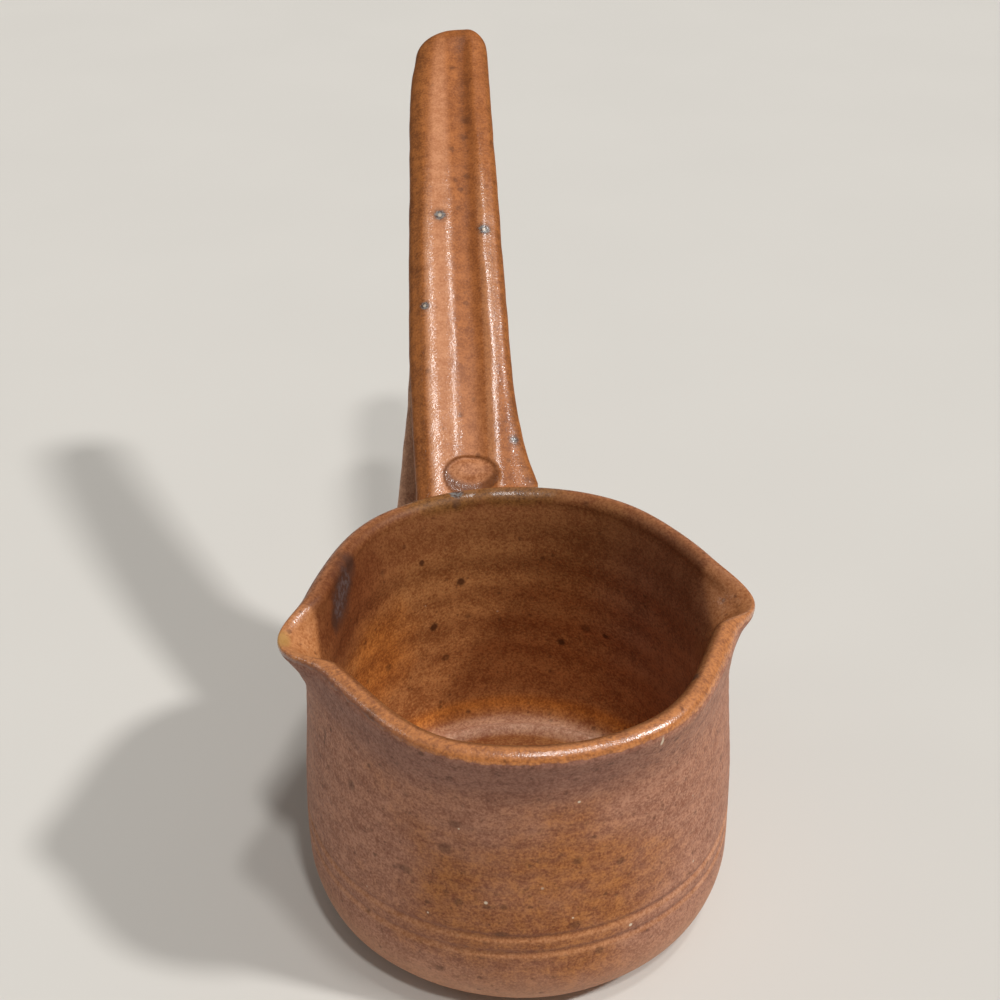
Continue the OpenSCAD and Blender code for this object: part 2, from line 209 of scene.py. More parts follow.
class StudioSettings(bpy.types.PropertyGroup):
    """Camera, lamps and floor."""

    lens: FloatProperty(name="Lens", description="Focal length in mm", default=54)
    floor_tone: colour("Floor", "Pale matt paper", "#d0ccc5")
    key_power: FloatProperty(name="Key", description="Lamp at the upper right, W/m2", default=1.9)
    top_power: FloatProperty(name="Top", description="Lamp high in front, W/m2", default=0.9)
    rail_power: FloatProperty(name="Rail", description="Lamp nearly overhead, W/m2", default=0.6)
    side_power: FloatProperty(name="Side", description="Weak lamp at the left, W/m2", default=0.15)
    sky_power: FloatProperty(name="Ceiling", description="Broad soft light overhead, W/m2", default=0.3)
    room: FloatProperty(name="Room", description="Light from all round", default=0.12)


def ease(t):
    """A smooth step: three t squared less two t cubed."""
    return t * t * (3 - 2 * t)


def share(value, low, high):
    """How far a value is from low to high, kept between 0 and 1."""
    return np.clip((value - low) / (high - low), 0, 1)


def mix(a, b, t):
    """A weighted mean: a where t is 0, b where t is 1."""
    return a + (b - a) * t


def bump(x, half):
    """A raised cosine, one high at 0 and gone at half."""
    return np.where(np.abs(x) < half, (1 + np.cos(np.pi * x / half)) / 2, 0.0)


def waves(points, size, seed):
    """Smooth unevenness from -1 to 1: a sum of nine sines along turned directions,
    with wavelengths about size."""
    spread = np.random.default_rng(seed)
    total = np.zeros(points.shape[:-1])
    for _ in range(9):
        way = spread.normal(size=3)
        way *= 2 * np.pi / (size * spread.uniform(0.7, 1.6) * np.linalg.norm(way))
        total += np.sin(points @ way + spread.uniform(0, 2 * np.pi))
    return total / 4.5


def grid_normals(points, closed_columns=True):
    """Unit normals of a grid: the step along the columns crossed with the step along
    the rows, both taken between the neighbours on each side."""
    if closed_columns:
        across = np.roll(points, -1, axis=1) - np.roll(points, 1, axis=1)
    else:
        across = np.gradient(points, axis=1)
    normals = np.cross(across, np.gradient(points, axis=0))
    size = np.linalg.norm(normals, axis=-1, keepdims=True)
    return normals / np.maximum(size, 1e-12)


def closed_skin(name, points, attributes):
    """A closed mesh from a grid of points whose columns run round it. The first and the
    last row are each one point; quads join the rows between, and fans close the ends."""
    rows, columns = points.shape[:2]
    inner = points[1:-1].reshape(-1, 3)
    vertices = np.vstack([points[0, :1], inner, points[-1, :1]])
    index = 1 + np.arange((rows - 2) * columns).reshape(rows - 2, columns)
    after = np.roll(index, -1, axis=1)
    quads = np.stack([index[:-1], after[:-1], after[1:], index[1:]], -1).reshape(-1, 4)
    last = len(vertices) - 1
    first_fan = np.stack([np.zeros(columns, int), after[0], index[0]], -1)
    last_fan = np.stack([index[-1], after[-1], np.full(columns, last)], -1)
    mesh = bpy.data.meshes.new(name)
    mesh.from_pydata(vertices.tolist(), [], quads.tolist() + first_fan.tolist() + last_fan.tolist())
    mesh.polygons.foreach_set("use_smooth", np.ones(len(mesh.polygons), bool))
    for label, values in attributes.items():
        flat = np.concatenate([values[0, :1], values[1:-1].ravel(), values[-1, :1]])
        layer = mesh.attributes.new(label, "FLOAT", "POINT")
        layer.data.foreach_set("value", flat.astype(np.float32))
    mesh.update()
    piece = bpy.data.objects.new(name, mesh)
    bpy.context.scene.collection.objects.link(piece)
    return piece


# The thrown pot

SKIRT_IN = 0.6 * MM  # how far the wall leans in from belly to foot
LIP_THIN = 0.45  # how much further a lip's inner side is pulled out
LINE_HALF = 1.3 * MM  # half the width of a scored line, and the lower one's depth
LOWER_LINE = 0.9  # beside the upper one's
FLOOR_RING = 0.9 * MM  # the ring of clay round the floor, and its place and half width
FLOOR_RING_AT = 0.93  # there, as parts of the floor's radius
FLOOR_RING_HALF = 0.07
THROW_PITCH = 8.6 * MM  # climb of the fingers for each turn of the wheel, inside
RIB_PITCH = 3.7 * MM  # finer marks of the rib, outside
POT_COLUMNS = 320
RIM_CHIP = (102.4, 0.9, 1.7)  # degrees round the rim, depth and radius in mm


def rim_half(pot):
    """Half of the rim's thickness."""
    return pot.wall_t * 0.54


def rim_round(pot):
    """Height of the rim's rounded top."""
    return pot.wall_t * 0.6


def wall_radius(z, pot):
    """Outer radius at a height: a quarter ellipse turned in over the foot, a smooth step
    from belly to waist, a flare to the rim's edge, and the rim's own quarter ellipse."""
    belly, neck, rim = pot.belly_d / 2, pot.neck_d / 2, pot.rim_d / 2
    neck_h, edge_h = pot.height - pot.neck_drop, pot.height - rim_round(pot)
    skirt = SKIRT_IN * (1 - share(z, 0, pot.belly_h)) ** 2
    tuck = 1 - share(z, pot.foot_h, pot.foot_h + pot.turn_h)
    low = belly - pot.turn_w * (1 - np.sqrt(1 - tuck**2)) - skirt
    side = mix(belly, neck, ease(share(z, pot.belly_h, neck_h)))
    flare = mix(neck, rim, share(z, neck_h, edge_h) ** 1.6)
    top = rim - rim_half(pot) * (1 - np.sqrt(1 - share(z, edge_h, pot.height) ** 2))
    return np.select([z < pot.belly_h, z < neck_h, z < edge_h], [low, side, flare], top)


def turn_between(a, b):
    """The turn from b to a, the shorter way round."""
    return (a - b + np.pi) % (2 * np.pi) - np.pi


def lip_pull(angle, lips):
    """Pull of both lips at an angle: out, down, and in at the pressed places beside them.
    Each is a raised cosine round the lip's middle, or round the middle of a pressed place."""
    total = np.zeros((3,) + angle.shape)
    for middle, droop, clockwise, other in (
        (-lips.right_lean, lips.right_droop, lips.right_pinch, lips.right_pinch_back),
        (np.pi + lips.left_lean, lips.left_droop, lips.left_pinch_back, lips.left_pinch),
    ):
        d = turn_between(angle, middle)
        total[0] += lips.reach * bump(d, lips.span)
        total[1] += droop * bump(d, lips.span)
        total[2] += clockwise * bump(d + lips.pinch_off, lips.pinch_span)
        total[2] += other * bump(d - lips.pinch_off, lips.pinch_span)
    return total


def fades(z, pot, lips):
    """How much of a lip's pull, and of a pressed place, is left at a height: squares that
    end at the lip's and at the pressed place's own depth."""
    return (
        share(z, pot.height - lips.fade, pot.height) ** 2,
        share(z, pot.height - lips.pinch_fade, pot.height) ** 2,
    )


def inner_radius(z, pot):
    """Inner radius at a height: the outer one less a wall that thins towards the rim."""
    top, edge_h = pot.floor_h + pot.bowl_h, pot.height - rim_round(pot)
    wall = mix(pot.wall_t + 1 * MM, 2 * rim_half(pot), share(z, top, edge_h))
    return wall_radius(np.maximum(z, pot.belly_h), pot) - wall


def pot_profile(pot):
    """Rows of the pot from the middle of its underside, over foot, wall and rim, to the
    middle of the floor: radius, height, and how far inside the row is."""
    arc = np.linspace(0, np.pi / 2, 6)
    foot, foot_in, edge = pot.foot_d / 2, pot.foot_d / 2 - pot.foot_w, 0.7 * MM
    edge_h, line = pot.height - rim_round(pot), pot.line_h
    under = np.linspace(0, foot_in - edge, 12)
    parts = [
        (under, pot.foot_h + 0 * under, 0),
        (foot_in - edge + edge * np.sin(arc), pot.foot_h - edge + edge * np.cos(arc), 0),
        (foot_in + edge - edge * np.cos(arc), edge - edge * np.sin(arc), 0),
        (np.linspace(foot_in + edge, foot - edge, 6)[1:-1], np.zeros(4), 0),
        (foot - edge + edge * np.sin(arc), edge - edge * np.cos(arc), 0),
        (np.full(2, foot), np.linspace(edge, pot.foot_h, 4)[1:-1], 0),
    ]
    tuck = pot.foot_h + pot.turn_h * (1 - np.cos(np.linspace(0, np.pi / 2, 18)))
    z = np.concatenate([
        tuck,
        np.arange(tuck[-1] + 0.5 * MM, line - 7 * MM, 0.6 * MM),
        np.arange(line - 7 * MM, line + 3 * MM, 0.26 * MM),
        np.arange(line + 3 * MM, edge_h - 0.2 * MM, 0.52 * MM),
        [edge_h],
    ])
    groove = bump(z - line, LINE_HALF) + LOWER_LINE * bump(z - line + pot.line_pitch, LINE_HALF)
    parts.append((wall_radius(z, pot) - pot.line_deep * groove, z, 0))
    a = np.linspace(0, np.pi, 26)[1:-1]
    half = rim_half(pot)
    parts.append((pot.rim_d / 2 - half + half * np.cos(a), edge_h + rim_round(pot) * np.sin(a),
                  (1 - np.cos(a)) / 2))
    top = pot.floor_h + pot.bowl_h
    z = np.linspace(edge_h, top, 48)
    parts.append((inner_radius(z, pot), z, 1))
    a = np.linspace(0, np.pi / 2, 30)[1:]
    bowl = inner_radius(np.array(top), pot)
    parts.append((bowl - pot.bowl_w * (1 - np.cos(a)), top - pot.bowl_h * np.sin(a), 1))
    r = np.concatenate([np.linspace(1, 0.84, 20)[1:], np.linspace(0.84, 0, 22)[1:]])
    ring = FLOOR_RING * bump(r - FLOOR_RING_AT, FLOOR_RING_HALF)
    parts.append(((bowl - pot.bowl_w) * r, pot.floor_h + ring, 1))
    columns = [np.concatenate([np.broadcast_to(p[i], p[0].shape) for p in parts]) for i in range(3)]
    return [c[:, None] for c in columns]


def pot_surface(pot, lips):
    """The pot's grid of points, its relief and its masks. A row of the profile is swung
    round the axis; the lips move it out and down, pressed places move it in. Along the
    normal it gets throwing rings, which climb one pitch a turn, and slow unevenness."""
    r, z, inner = pot_profile(pot)
    around = np.arange(POT_COLUMNS) * 2 * np.pi / POT_COLUMNS
    angle = (around - 10 * DEGREE * np.sin(2 * around))[None, :]
    lip_fade, pinch_fade = fades(z, pot, lips)
    out, down, pinch = lip_pull(angle, lips)
    radius = r + out * (1 + LIP_THIN * inner) * lip_fade - pinch * pinch_fade
    height = z - down * lip_fade
    at_pole = r < 1e-9
    radius = np.where(at_pole, 0, radius)
    points = np.stack([radius * np.cos(angle), radius * np.sin(angle), height + 0 * angle], -1)
    walls = share(z, pot.foot_h + 1 * MM, pot.foot_h + 9 * MM)
    outside = (1 - inner) * walls
    turns = np.sin(2 * np.pi * z / THROW_PITCH - angle + 0.5 * waves(points, 60 * MM, 3))
    soft_end = share(z, pot.floor_h + 6 * MM, 30 * MM) * (1 - 0.7 * share(z, 58 * MM, pot.height))
    rib = np.sin(2 * np.pi * z / RIB_PITCH - angle + waves(points, 50 * MM, 4))
    floor = inner * (1 - share(z, pot.floor_h + 1.5 * MM, pot.floor_h + 5 * MM))
    swirl = np.sin(2 * np.pi * r / (5.2 * MM) - angle)
    relief = 0.11 * MM * turns * inner * soft_end
    relief = relief + 0.035 * MM * rib * outside * share(z, 26 * MM, 34 * MM)
    relief = relief + 0.16 * MM * swirl * floor * share(r, 3 * MM, 9 * MM)
    relief = relief + 0.12 * MM * waves(points, 26 * MM, 5) * np.where(z > pot.foot_h, 1, 0)
    chip_at = RIM_CHIP[0] * DEGREE
    rim_r = pot.rim_d / 2 - rim_half(pot)
    chip = np.array([rim_r * np.cos(chip_at), rim_r * np.sin(chip_at), pot.height])
    gone = np.linalg.norm(points - chip, axis=-1)
    relief = relief - RIM_CHIP[1] * MM * bump(gone, RIM_CHIP[2] * MM) * 0.6
    relief = np.where(at_pole, 0, relief)
    points = points + grid_normals(points) * relief[..., None]
    rows = z + 0 * angle
    floor_r = inner_radius(np.array(pot.floor_h + pot.bowl_h), pot) - pot.bowl_w
    masks = {
        "rim": np.arccos(np.clip(1 - 2 * inner, -1, 1)) / np.pi + 0 * angle,
        "rings": turns * inner * soft_end,
        # Along the scored lines, thin and pool also paint light and shade on the grooves' flanks.
        "thin": np.clip(scored_edges(z, pot) * (1 - inner), 0, 1) + 0 * angle,
        "pool": np.clip(pools(r, z, inner, pot), 0, 1) + 0 * angle,
        "floor": inner * (1 - share(z, pot.floor_h + 2 * MM, pot.floor_h + 4.5 * MM)) + 0 * angle,
        # Painted sheen: the ring mask pales the floor ring's colour.
        "ring": inner * bump(r - FLOOR_RING_AT * floor_r - 1 * MM, 4.4 * MM) * (z < pot.floor_h + 3 * MM) + 0 * angle,
        # Painted light: the lips' hollows are painted lighter.
        "hollow": lip_hollow(angle, np.pi + lips.left_lean, 12 * DEGREE, rows, 9 * MM, pot) * inner
        + 0.6 * lip_hollow(angle, -lips.right_lean, 14 * DEGREE, rows, 8.5 * MM, pot) * inner,
    }
    return points, masks


def lip_hollow(angle, middle, half, z, deep, pot):
    """The spoon-shaped hollow of a lip: half an ellipse hung from the rim's edge, with a
    crisp border."""
    out = np.hypot(turn_between(angle, middle) / half, (pot.height - z) / deep)
    return 1 - share(out, 0.9, 1.05)


def scored_edges(z, pot):
    """Where the glaze ran thin outside: along the lower side of each scored line, and on
    the rounded turn over the foot. Along the scored lines it is also painted light on the
    flank that faces up."""
    low = LINE_HALF * 0.6
    edges = bump(z - pot.line_h + low, 1.1 * MM) + bump(z - pot.line_h + pot.line_pitch + low, 1.1 * MM)
    return edges + 0.8 * bump(z - pot.foot_h - 1.2 * MM, 2.2 * MM)


def pools(r, z, inner, pot):
    """Where the glaze pooled: under the upper edge of each scored line, and inside in the
    corner between the wall and the ring of the floor. Under the scored lines it is also
    painted shade on the flank that faces down."""
    up = LINE_HALF * 0.5
    line = bump(z - pot.line_h - up, 1.2 * MM) + bump(z - pot.line_h + pot.line_pitch - up, 1.2 * MM)
    corner = bump(z - pot.floor_h - 3 * MM, 3.2 * MM) * share(r, 35 * MM, 36.5 * MM)
    return (1 - inner) * line + inner * corner


# The doubled strap

FOLD_GAP = 0.2 * MM  # between the two runs
RUN_START = 2.5 * MM  # where the straight strap starts, out from the wall
WAIST_RUN = 34 * MM  # lengths over which the root draws in and spreads
LOWER_SPREAD_RUN = 60 * MM
UPPER_SPREAD_RUN = 40 * MM
LEFT_CORNER = (2.4 * MM, 38 * MM)  # how far the tip's corners are cut, over what length
RIGHT_CORNER = (1.1 * MM, 7.2 * MM)
TIP_ROUND = (5.9 * MM, 2.7 * MM)  # how far the left and right of the fold are drawn back
TIP_HIGH = 0.5  # the place across the strap that reaches out furthest
TIP_RUN = 26 * MM
WELD = 0.4 * MM  # clay smoothed outwards where the strap meets the wall
SUNK = 0.9 * MM  # how deep the roots are pressed into the wall
STRAP_COLUMNS = 132


class StrapPath:
    """The middle line of the strap in the handle's own plane, and lengths along it."""

    def __init__(self, strap, pot):
        rise = strap.rise
        self.along = np.array([math.cos(rise), math.sin(rise)])
        self.across = np.array([-math.sin(rise), math.cos(rise)])
        pitch = strap.thick + FOLD_GAP
        root = np.array([0, pot.height - strap.root_drop]) - self.across * strap.thick / 2
        run_end = strap.reach - pitch / 2

        def front(s):
            """The arched upper run: straight along the rise, plus a half sine across it."""
            arch = strap.arch * np.sin(np.pi * np.clip(s / run_end, 0, 1))
            return root + self.along * s[:, None] + self.across * arch[:, None]

        s = np.concatenate([
            np.arange(RUN_START, 15 * MM, 0.28 * MM),
            np.linspace(15 * MM, run_end, 190),
        ])
        upper = front(s)
        a = np.linspace(0, np.pi, 46)[1:-1, None]
        middle = upper[-1] - self.across * pitch / 2
        fold = middle + (self.across * np.cos(a) + self.along * np.sin(a)) * pitch / 2
        lower = front(np.linspace(run_end, strap.loop, 110)) - self.across * pitch
        t = np.linspace(0, 1, 100)[1:, None]
        end = np.array([2.5 * MM, strap.lower_root_h])
        held = [
            lower[-1],
            lower[-1] - self.along * strap.loop * 0.42,
            end + np.array([strap.loop * 0.45, strap.loop * 0.1]),
            end,
        ]
        weights = [(1 - t) ** 3, 3 * (1 - t) ** 2 * t, 3 * (1 - t) * t**2, t**3]
        bend = sum(w * p for w, p in zip(weights, held))
        self.points = np.vstack([upper, fold, lower, bend])
        steps = np.linalg.norm(np.diff(self.points, axis=0), axis=1)
        self.run = np.concatenate([[0], np.cumsum(steps)])
        self.tip = self.run[len(upper) - 1] + np.pi * pitch / 4
        self.end = self.run[-1]
        heading = np.gradient(self.points, axis=0)
        self.heading = heading / np.linalg.norm(heading, axis=1, keepdims=True)


def corner_cut(away, corner):
    """How much a corner of the tip is cut at a distance from the tip: a power curve."""
    return corner[0] * (1 - share(away, 0, corner[1])) ** 2.3


def half_widths(run, path, strap):
    """Half widths to the left and right along the strap: a slow taper to the tip, less
    the tip's corners, drawn in or spread at the roots."""
    back = np.where(run > path.tip, 2 * path.tip - run, run)
    away = np.abs(run - path.tip)
    half = mix(strap.width, strap.tip_w, ease(share(back, 0, path.tip))) / 2
    spread = strap.lower_flare * (1 - share(path.end - run, 0, LOWER_SPREAD_RUN)) ** 1.3
    draw = np.where(run < path.tip, strap.waist * (1 - share(run, 0, WAIST_RUN)) ** 1.5, 0)
    left = half - corner_cut(away, LEFT_CORNER) - draw + spread
    right = half - corner_cut(away, RIGHT_CORNER) + spread
    wing = strap.upper_flare * (1 - share(run, 0, UPPER_SPREAD_RUN)) ** 2.9
    return left, right, wing


def tip_round(q, run, path):
    """How far a place across the strap is drawn back at the tip, which rounds the fold
    seen from above: a power curve to each side, gone by TIP_RUN from the tip."""
    left = TIP_ROUND[0] * share(TIP_HIGH - q, 0, 1 + TIP_HIGH) ** 2.2
    right = TIP_ROUND[1] * share(q - TIP_HIGH, 0, 1 - TIP_HIGH) ** 2.2
    return (left + right) * bump(run - path.tip, TIP_RUN)


def strap_face(q, run, path, strap):
    """Height of the outer face across the strap, q from -1 at the left to 1 at the right:
    a flattened round, with a ridge at the left that falls off as a facet, a thumb trough
    that is steeper at its right, and thin crests that the fingers left along the ridges.
    The lines waver a little, and all of it fades out where the strap turns over."""
    near_tip = share(run, 0, path.tip) ** 2
    q_line = q + 0.02 * np.sin(2 * np.pi * run / (47 * MM)) + 0.012 * np.sin(2 * np.pi * run / (19 * MM))
    shape = 1 - ease(share(run, path.tip - 11 * MM, path.tip - 2 * MM))
    crests = 1 - 0.8 * share(run, 68 * MM, 100 * MM)
    x = q_line - mix(0.25, 0.37, near_tip)
    half = np.where(x < 0, mix(0.43, 0.62, near_tip), mix(0.40, 0.24, near_tip))
    depth = strap.trough * mix(0.12, 1, shape)
    face = strap.thick / 2 * np.sqrt(np.maximum(0, 1 - np.abs(q) ** 5))
    left = q_line + 0.69
    lower = 1 - 0.75 * share(run, 55 * MM, 115 * MM)
    face = face + strap.ridge * shape * lower * bump(left, np.where(left < 0, 0.17, 0.52))
    thin = 0.03 * bump(q_line + 0.66, 0.16) + 0.02 * bump(q_line + mix(0.13, 0.2, near_tip), 0.14)
    thin = thin + 0.06 * bump(q_line - 0.6, 0.16) + 0.04 * bump(q_line - 0.82, 0.1)
    return face - depth * (1 + np.cos(np.pi * np.clip(x / half, -1, 1))) / 2 + thin * MM * crests * shape


def seal_relief(side, along, strap):
    """The potter's oval seal, left bare: a hollow with a crisp edge, deepest in a crescent
    between the oval and a low dome in its upper part, with a faint lip of clay pushed up
    round it. Also gives how dark it is painted there, and the oval: pooled glaze in the
    crescent, and along the upper left of the edge a dark line that is painted shadow."""
    x = (side - strap.seal_side) / (strap.seal_w / 2)
    y = (along - strap.seal_off - strap.seal_h / 2) / (strap.seal_h / 2)
    out = np.hypot(x, y)
    inside = 1 - share(out, 0.9, 1.0)
    dome = np.hypot(x / 0.8, (y - 0.36) / 0.72)
    hollow = -strap.seal_deep * inside * ease(share(dome, 0.3, 1.0))
    # The first term is a painted shadow along the upper left of the edge; the second is pooled glaze in the crescent.
    pool_and_shadow = 0.7 * bump(out - 0.96, 0.09) * share(y - x, -0.6, 0.6) + inside * share(dome, 0.86, 1.12)
    return hollow + 0.03 * MM * bump(out - 1.12, 0.2), np.clip(pool_and_shadow, 0, 1), inside


def placed(side, out, up, strap, pot):
    """From the handle's plane to its place at the back of the pot: turned to the right
    and moved to the root."""
    root_y = math.sqrt((pot.rim_d / 2) ** 2 - strap.side**2)
    c, s = math.cos(strap.turned), math.sin(strap.turned)
    return np.stack([side * c + out * s - strap.side, out * c - side * s + root_y, up], -1)


def landed(points, way, pot, lips):
    """Points moved along a way until they lie on the pot's wall: each step goes back by
    the distance that is left."""
    level = math.hypot(way[0], way[1])
    for _ in range(14):
        angle = np.arctan2(points[..., 1], points[..., 0])
        wall = wall_radius(points[..., 2], pot)
        wall = wall - lip_pull(angle, lips)[2] * fades(points[..., 2], pot, lips)[1]
        miss = np.hypot(points[..., 0], points[..., 1]) - wall
        points = points - way * (miss / level)[..., None]
    return points


def strap_surface(strap, pot, lips):
    """The strap's grid of points and masks: its cross-section carried along the middle
    line, and at both ends led on to the wall, spread a little and sunk into it."""
    path = StrapPath(strap, pot)
    top = np.linspace(0, np.pi, STRAP_COLUMNS // 2 + 1)
    q = np.concatenate([-np.cos(top), np.cos(top[1:-1])])[None, :]
    is_top = (np.arange(STRAP_COLUMNS) <= STRAP_COLUMNS // 2)[None, :]
    run = path.run[:, None]
    left, right, wing = half_widths(run, path, strap)
    side = np.where(q < 0, q * left, q * right + wing * q**4)
    pressed, seal, oval = seal_relief(side, run + RUN_START, strap)
    face = strap_face(q, run, path, strap) + pressed
    under = -strap.thick / 2 * np.sqrt(np.maximum(0, 1 - np.abs(q) ** 9))
    level = np.where(is_top, face, under)
    out = path.points[:, :1] - path.heading[:, 1:] * level
    up = path.points[:, 1:] + path.heading[:, :1] * level
    back = tip_round(q, run, path)
    points = placed(side, out - path.along[0] * back, up - path.along[1] * back, strap, pot)

    def rooted(ring, heading):
        """Rows from inside the wall to the given end ring of the strap."""
        way = placed(0.0, heading[0], heading[1], strap, pot) - placed(0.0, 0.0, 0.0, strap, pot)
        on_wall = landed(ring, way, pot, lips)
        away = ring - ring.mean(0)
        away = away / np.linalg.norm(away, axis=1, keepdims=True)
        t = np.linspace(0, 1, 9)[:-1, None, None]
        rows = mix(on_wall, ring, t) + away * WELD * (1 - t) ** 3
        sunk = rows[0] - way * SUNK
        return np.concatenate([np.broadcast_to(sunk.mean(0), sunk.shape)[None], sunk[None], rows])

    start = rooted(points[0], path.heading[0])
    lead = RUN_START * np.linspace(0, 1, 9)[:-1, None]
    lead_pressed, lead_seal, lead_oval = seal_relief(side[:1], lead, strap)
    lift = placed(0.0, path.across[0], path.across[1], strap, pot) - placed(0.0, 0.0, 0.0, strap, pot)
    start[2:] += ((lead_pressed - pressed[:1]) * is_top)[..., None] * lift
    end = rooted(points[-1], -path.heading[-1])[::-1]
    front = is_top * (1 - share(run, path.tip - 6 * MM, path.tip + 2 * MM))
    near_tip = share(run, 0, path.tip)
    crest = bump(q + 0.6, 0.24) + 0.8 * bump(q + mix(0.1, 0.2, near_tip), 0.2)
    crest = crest + 0.25 * bump(q + 0.36, 0.3) * (1 - share(run, 18 * MM, 34 * MM))
    low = share(run, 10 * MM, 34 * MM)
    crest = crest + 1.25 * bump(q - mix(0.54, 0.62, low), mix(0.2, 0.3, low)) + 0.6 * bump(q - 0.84, 0.12)
    crest = crest * (1 - 0.75 * share(run, 68 * MM, 100 * MM)) * (1 - oval * is_top)
    crest = np.maximum(crest, 0.5 * seal * is_top * (1 - share(run, 4 * MM, 7 * MM)))
    edge = mix(-0.68, -0.42, near_tip**2)
    masks = {
        "crest": np.clip(crest, 0, 1) * front,
        "margin": np.clip(
            share(edge - q, -0.12, mix(0.1, 0.3, near_tip)) * mix(0.6, 1, share(run, 6 * MM, 34 * MM))
            + share(q, 0.84, 0.92) + 1 - front, 0, 1),
        # The dark line along the trough's steep side: pooled glaze and painted shade.
        "pool": bump(q - 0.36, mix(0.28, 0.24, near_tip)) * front * mix(0.1, 1, near_tip),
        # Where the facet's painted sheen is laid.
        "facet_sheen": share(q - edge, -0.06, 0.12) * front * np.maximum(
            (1 - share(q, -0.2, -0.02)) * (1 - 0.55 * share(run, path.tip - 24 * MM, path.tip - 6 * MM)),
            0.35 * (1 - share(run, 12 * MM, 38 * MM)) * (1 - share(q, 0.3, 0.5))),
        "oval": oval * is_top * (1 - share(run, 12 * MM, 14 * MM)) + 0 * run,
        # The lower run, painted paler as painted light.
        "under": share(run, path.tip, path.tip + 4 * MM) + 0 * q,
        "seal": seal * is_top * (1 - share(run, 12 * MM, 14 * MM)) + 0 * run,
    }
    whole = np.concatenate([start, points, end])
    padded = {
        name: np.concatenate([
            np.repeat(m[:1], len(start), 0), m, np.repeat(m[-1:], len(end), 0)])
        for name, m in masks.items()
    }
    padded["oval"][2 : len(start)] = lead_oval * is_top
    padded["seal"][2 : len(start)] = lead_seal * is_top
    padded["crest"][2 : len(start)] = np.maximum(
        padded["crest"][2 : len(start)] * (1 - lead_oval), 0.5 * lead_seal) * is_top
    uneven = 0.11 * MM * waves(whole, 19 * MM, 11) + 0.05 * MM * waves(whole, 6 * MM, 12)
    uneven[:2] = 0
    uneven[-2:] = 0
    whole = whole + grid_normals(whole) * uneven[..., None]
    return whole, padded


def on_strap(side, along, strap, pot):
    """A point on the handle's upper face, given its place across and along the strap."""
    path = StrapPath(strap, pot)
    nearest = int(np.argmin(np.abs(path.run + RUN_START - along)))
    run = path.run[nearest]
    left, right, _ = half_widths(run, path, strap)
    q = side / (left if side < 0 else right)
    face = float(strap_face(np.array(q), run, path, strap))
    out = path.points[nearest, 0] - path.heading[nearest, 1] * face
    up = path.points[nearest, 1] + path.heading[nearest, 0] * face
    return placed(side, out, up, strap, pot)


def on_wall(degrees, z, inside, pot, lips):
    """A point on the pot's outer or inner wall, given its angle and height."""
    angle = np.array(degrees * DEGREE)
    z = np.array(z)
    lip_fade, pinch_fade = fades(z, pot, lips)
    out, _, pinch = lip_pull(angle, lips)
    r = inner_radius(z, pot) if inside else wall_radius(z, pot)
    r = r + out * (1 + LIP_THIN * inside) * lip_fade - pinch * pinch_fade
    return np.array([r * np.cos(angle), r * np.sin(angle), z])


# Materials

# Dark iron spots: degrees and height on the wall, whether inside, width and height in mm
DARK_SPOTS = (
    (103.5, 49.6, 1, 1.0, 1.0), (117.4, 57.6, 1, 0.7, 0.7), (113.4, 38.5, 1, 0.9, 1.3), (68.8, 31.1, 1, 0.9, 0.9),
    (52.9, 36.4, 1, 0.7, 0.7), (-100.1, 25.1, 0, 1.5, 0.8), (-110.8, 32, 0, 0.9, 0.9),
    (-114.2, 44.6, 0, 1.3, 1.1), (-111.6, 51, 0, 1.1, 0.9), (-125.2, 36.2, 0, 1.7, 0.9), (-143.5, 48.6, 0, 1.0, 1.2),
    (-115.9, 12.8, 0, 1.0, 0.8), (-82.1, 26.6, 0, 1.2, 0.9), (-81.6, 42.5, 0, 1.0, 0.8), (-70.3, 39.5, 0, 0.9, 0.8),
    (-75.7, 18.1, 0, 0.9, 0.9), (-135, 69.6, 0, 1.4, 0.9), (-103.7, 31.9, 0, 0.8, 0.6), (-157.5, 53, 0, 0.4, 2.6),
)
# Pale grit outside, the last a tall streak that is a painted glint: degrees and height, width and height in mm
PALE_GRIT_AND_GLINT = (
    (-81.5, 56.7, 0.3, 0.3), (-67.2, 22.1, 0.36, 0.36), (-82.7, 28.5, 0.2, 0.2), (-110.6, 50, 0.2, 0.2),
    (-103.9, 32.9, 0.36, 0.36), (-118.6, 27.4, 0.2, 0.2), (-61.8, 67.2, 0.3, 1.3),
)
# The scorch inside the left lip: degrees, height and size in mm
SCORCH = ((149, 68, 1.3), (153.5, 66.2, 1.7), (157.5, 64.6, 2.1), (161.5, 63.3, 1.9), (165.5, 62.2, 1.3))


def add(tree, kind, inputs, out=0, **settings):
    """Adds a shader node with its settings, sets or links its inputs, gives an output."""
    node = tree.nodes.new("ShaderNode" + kind)
    for name, value in settings.items():
        setattr(node, name, value)
    for key, value in inputs.items():
        if isinstance(value, bpy.types.NodeSocket):
            tree.links.new(value, node.inputs[key])
        else:
            node.inputs[key].default_value = value
    return node.outputs[out] if node.outputs else None


def per(size):
    """The scale of a noise whose grain is about size metres."""
    return 1 / size


def new_material(name):
    """A node material with only its output, and its Object coordinates."""
    material = bpy.data.materials.new(name)
    material.use_nodes = True
    tree = material.node_tree
    tree.nodes.clear()
    return material, tree, add(tree, "TexCoord", {}, out=3)


def tint(tree, under, over, amount):
    """One colour laid over another by an amount."""
    return add(tree, "Mix", {0: amount, 6: under, 7: over}, out=2, data_type="RGBA")


def fitted(tree, value, low, high, start=0.0, end=1.0):
    """A value from low to high, as a smooth step from start to end."""
    return add(
        tree,
        "MapRange",
        {"Value": value, "From Min": low, "From Max": high, "To Min": start, "To Max": end},
        interpolation_type="SMOOTHSTEP",
    )


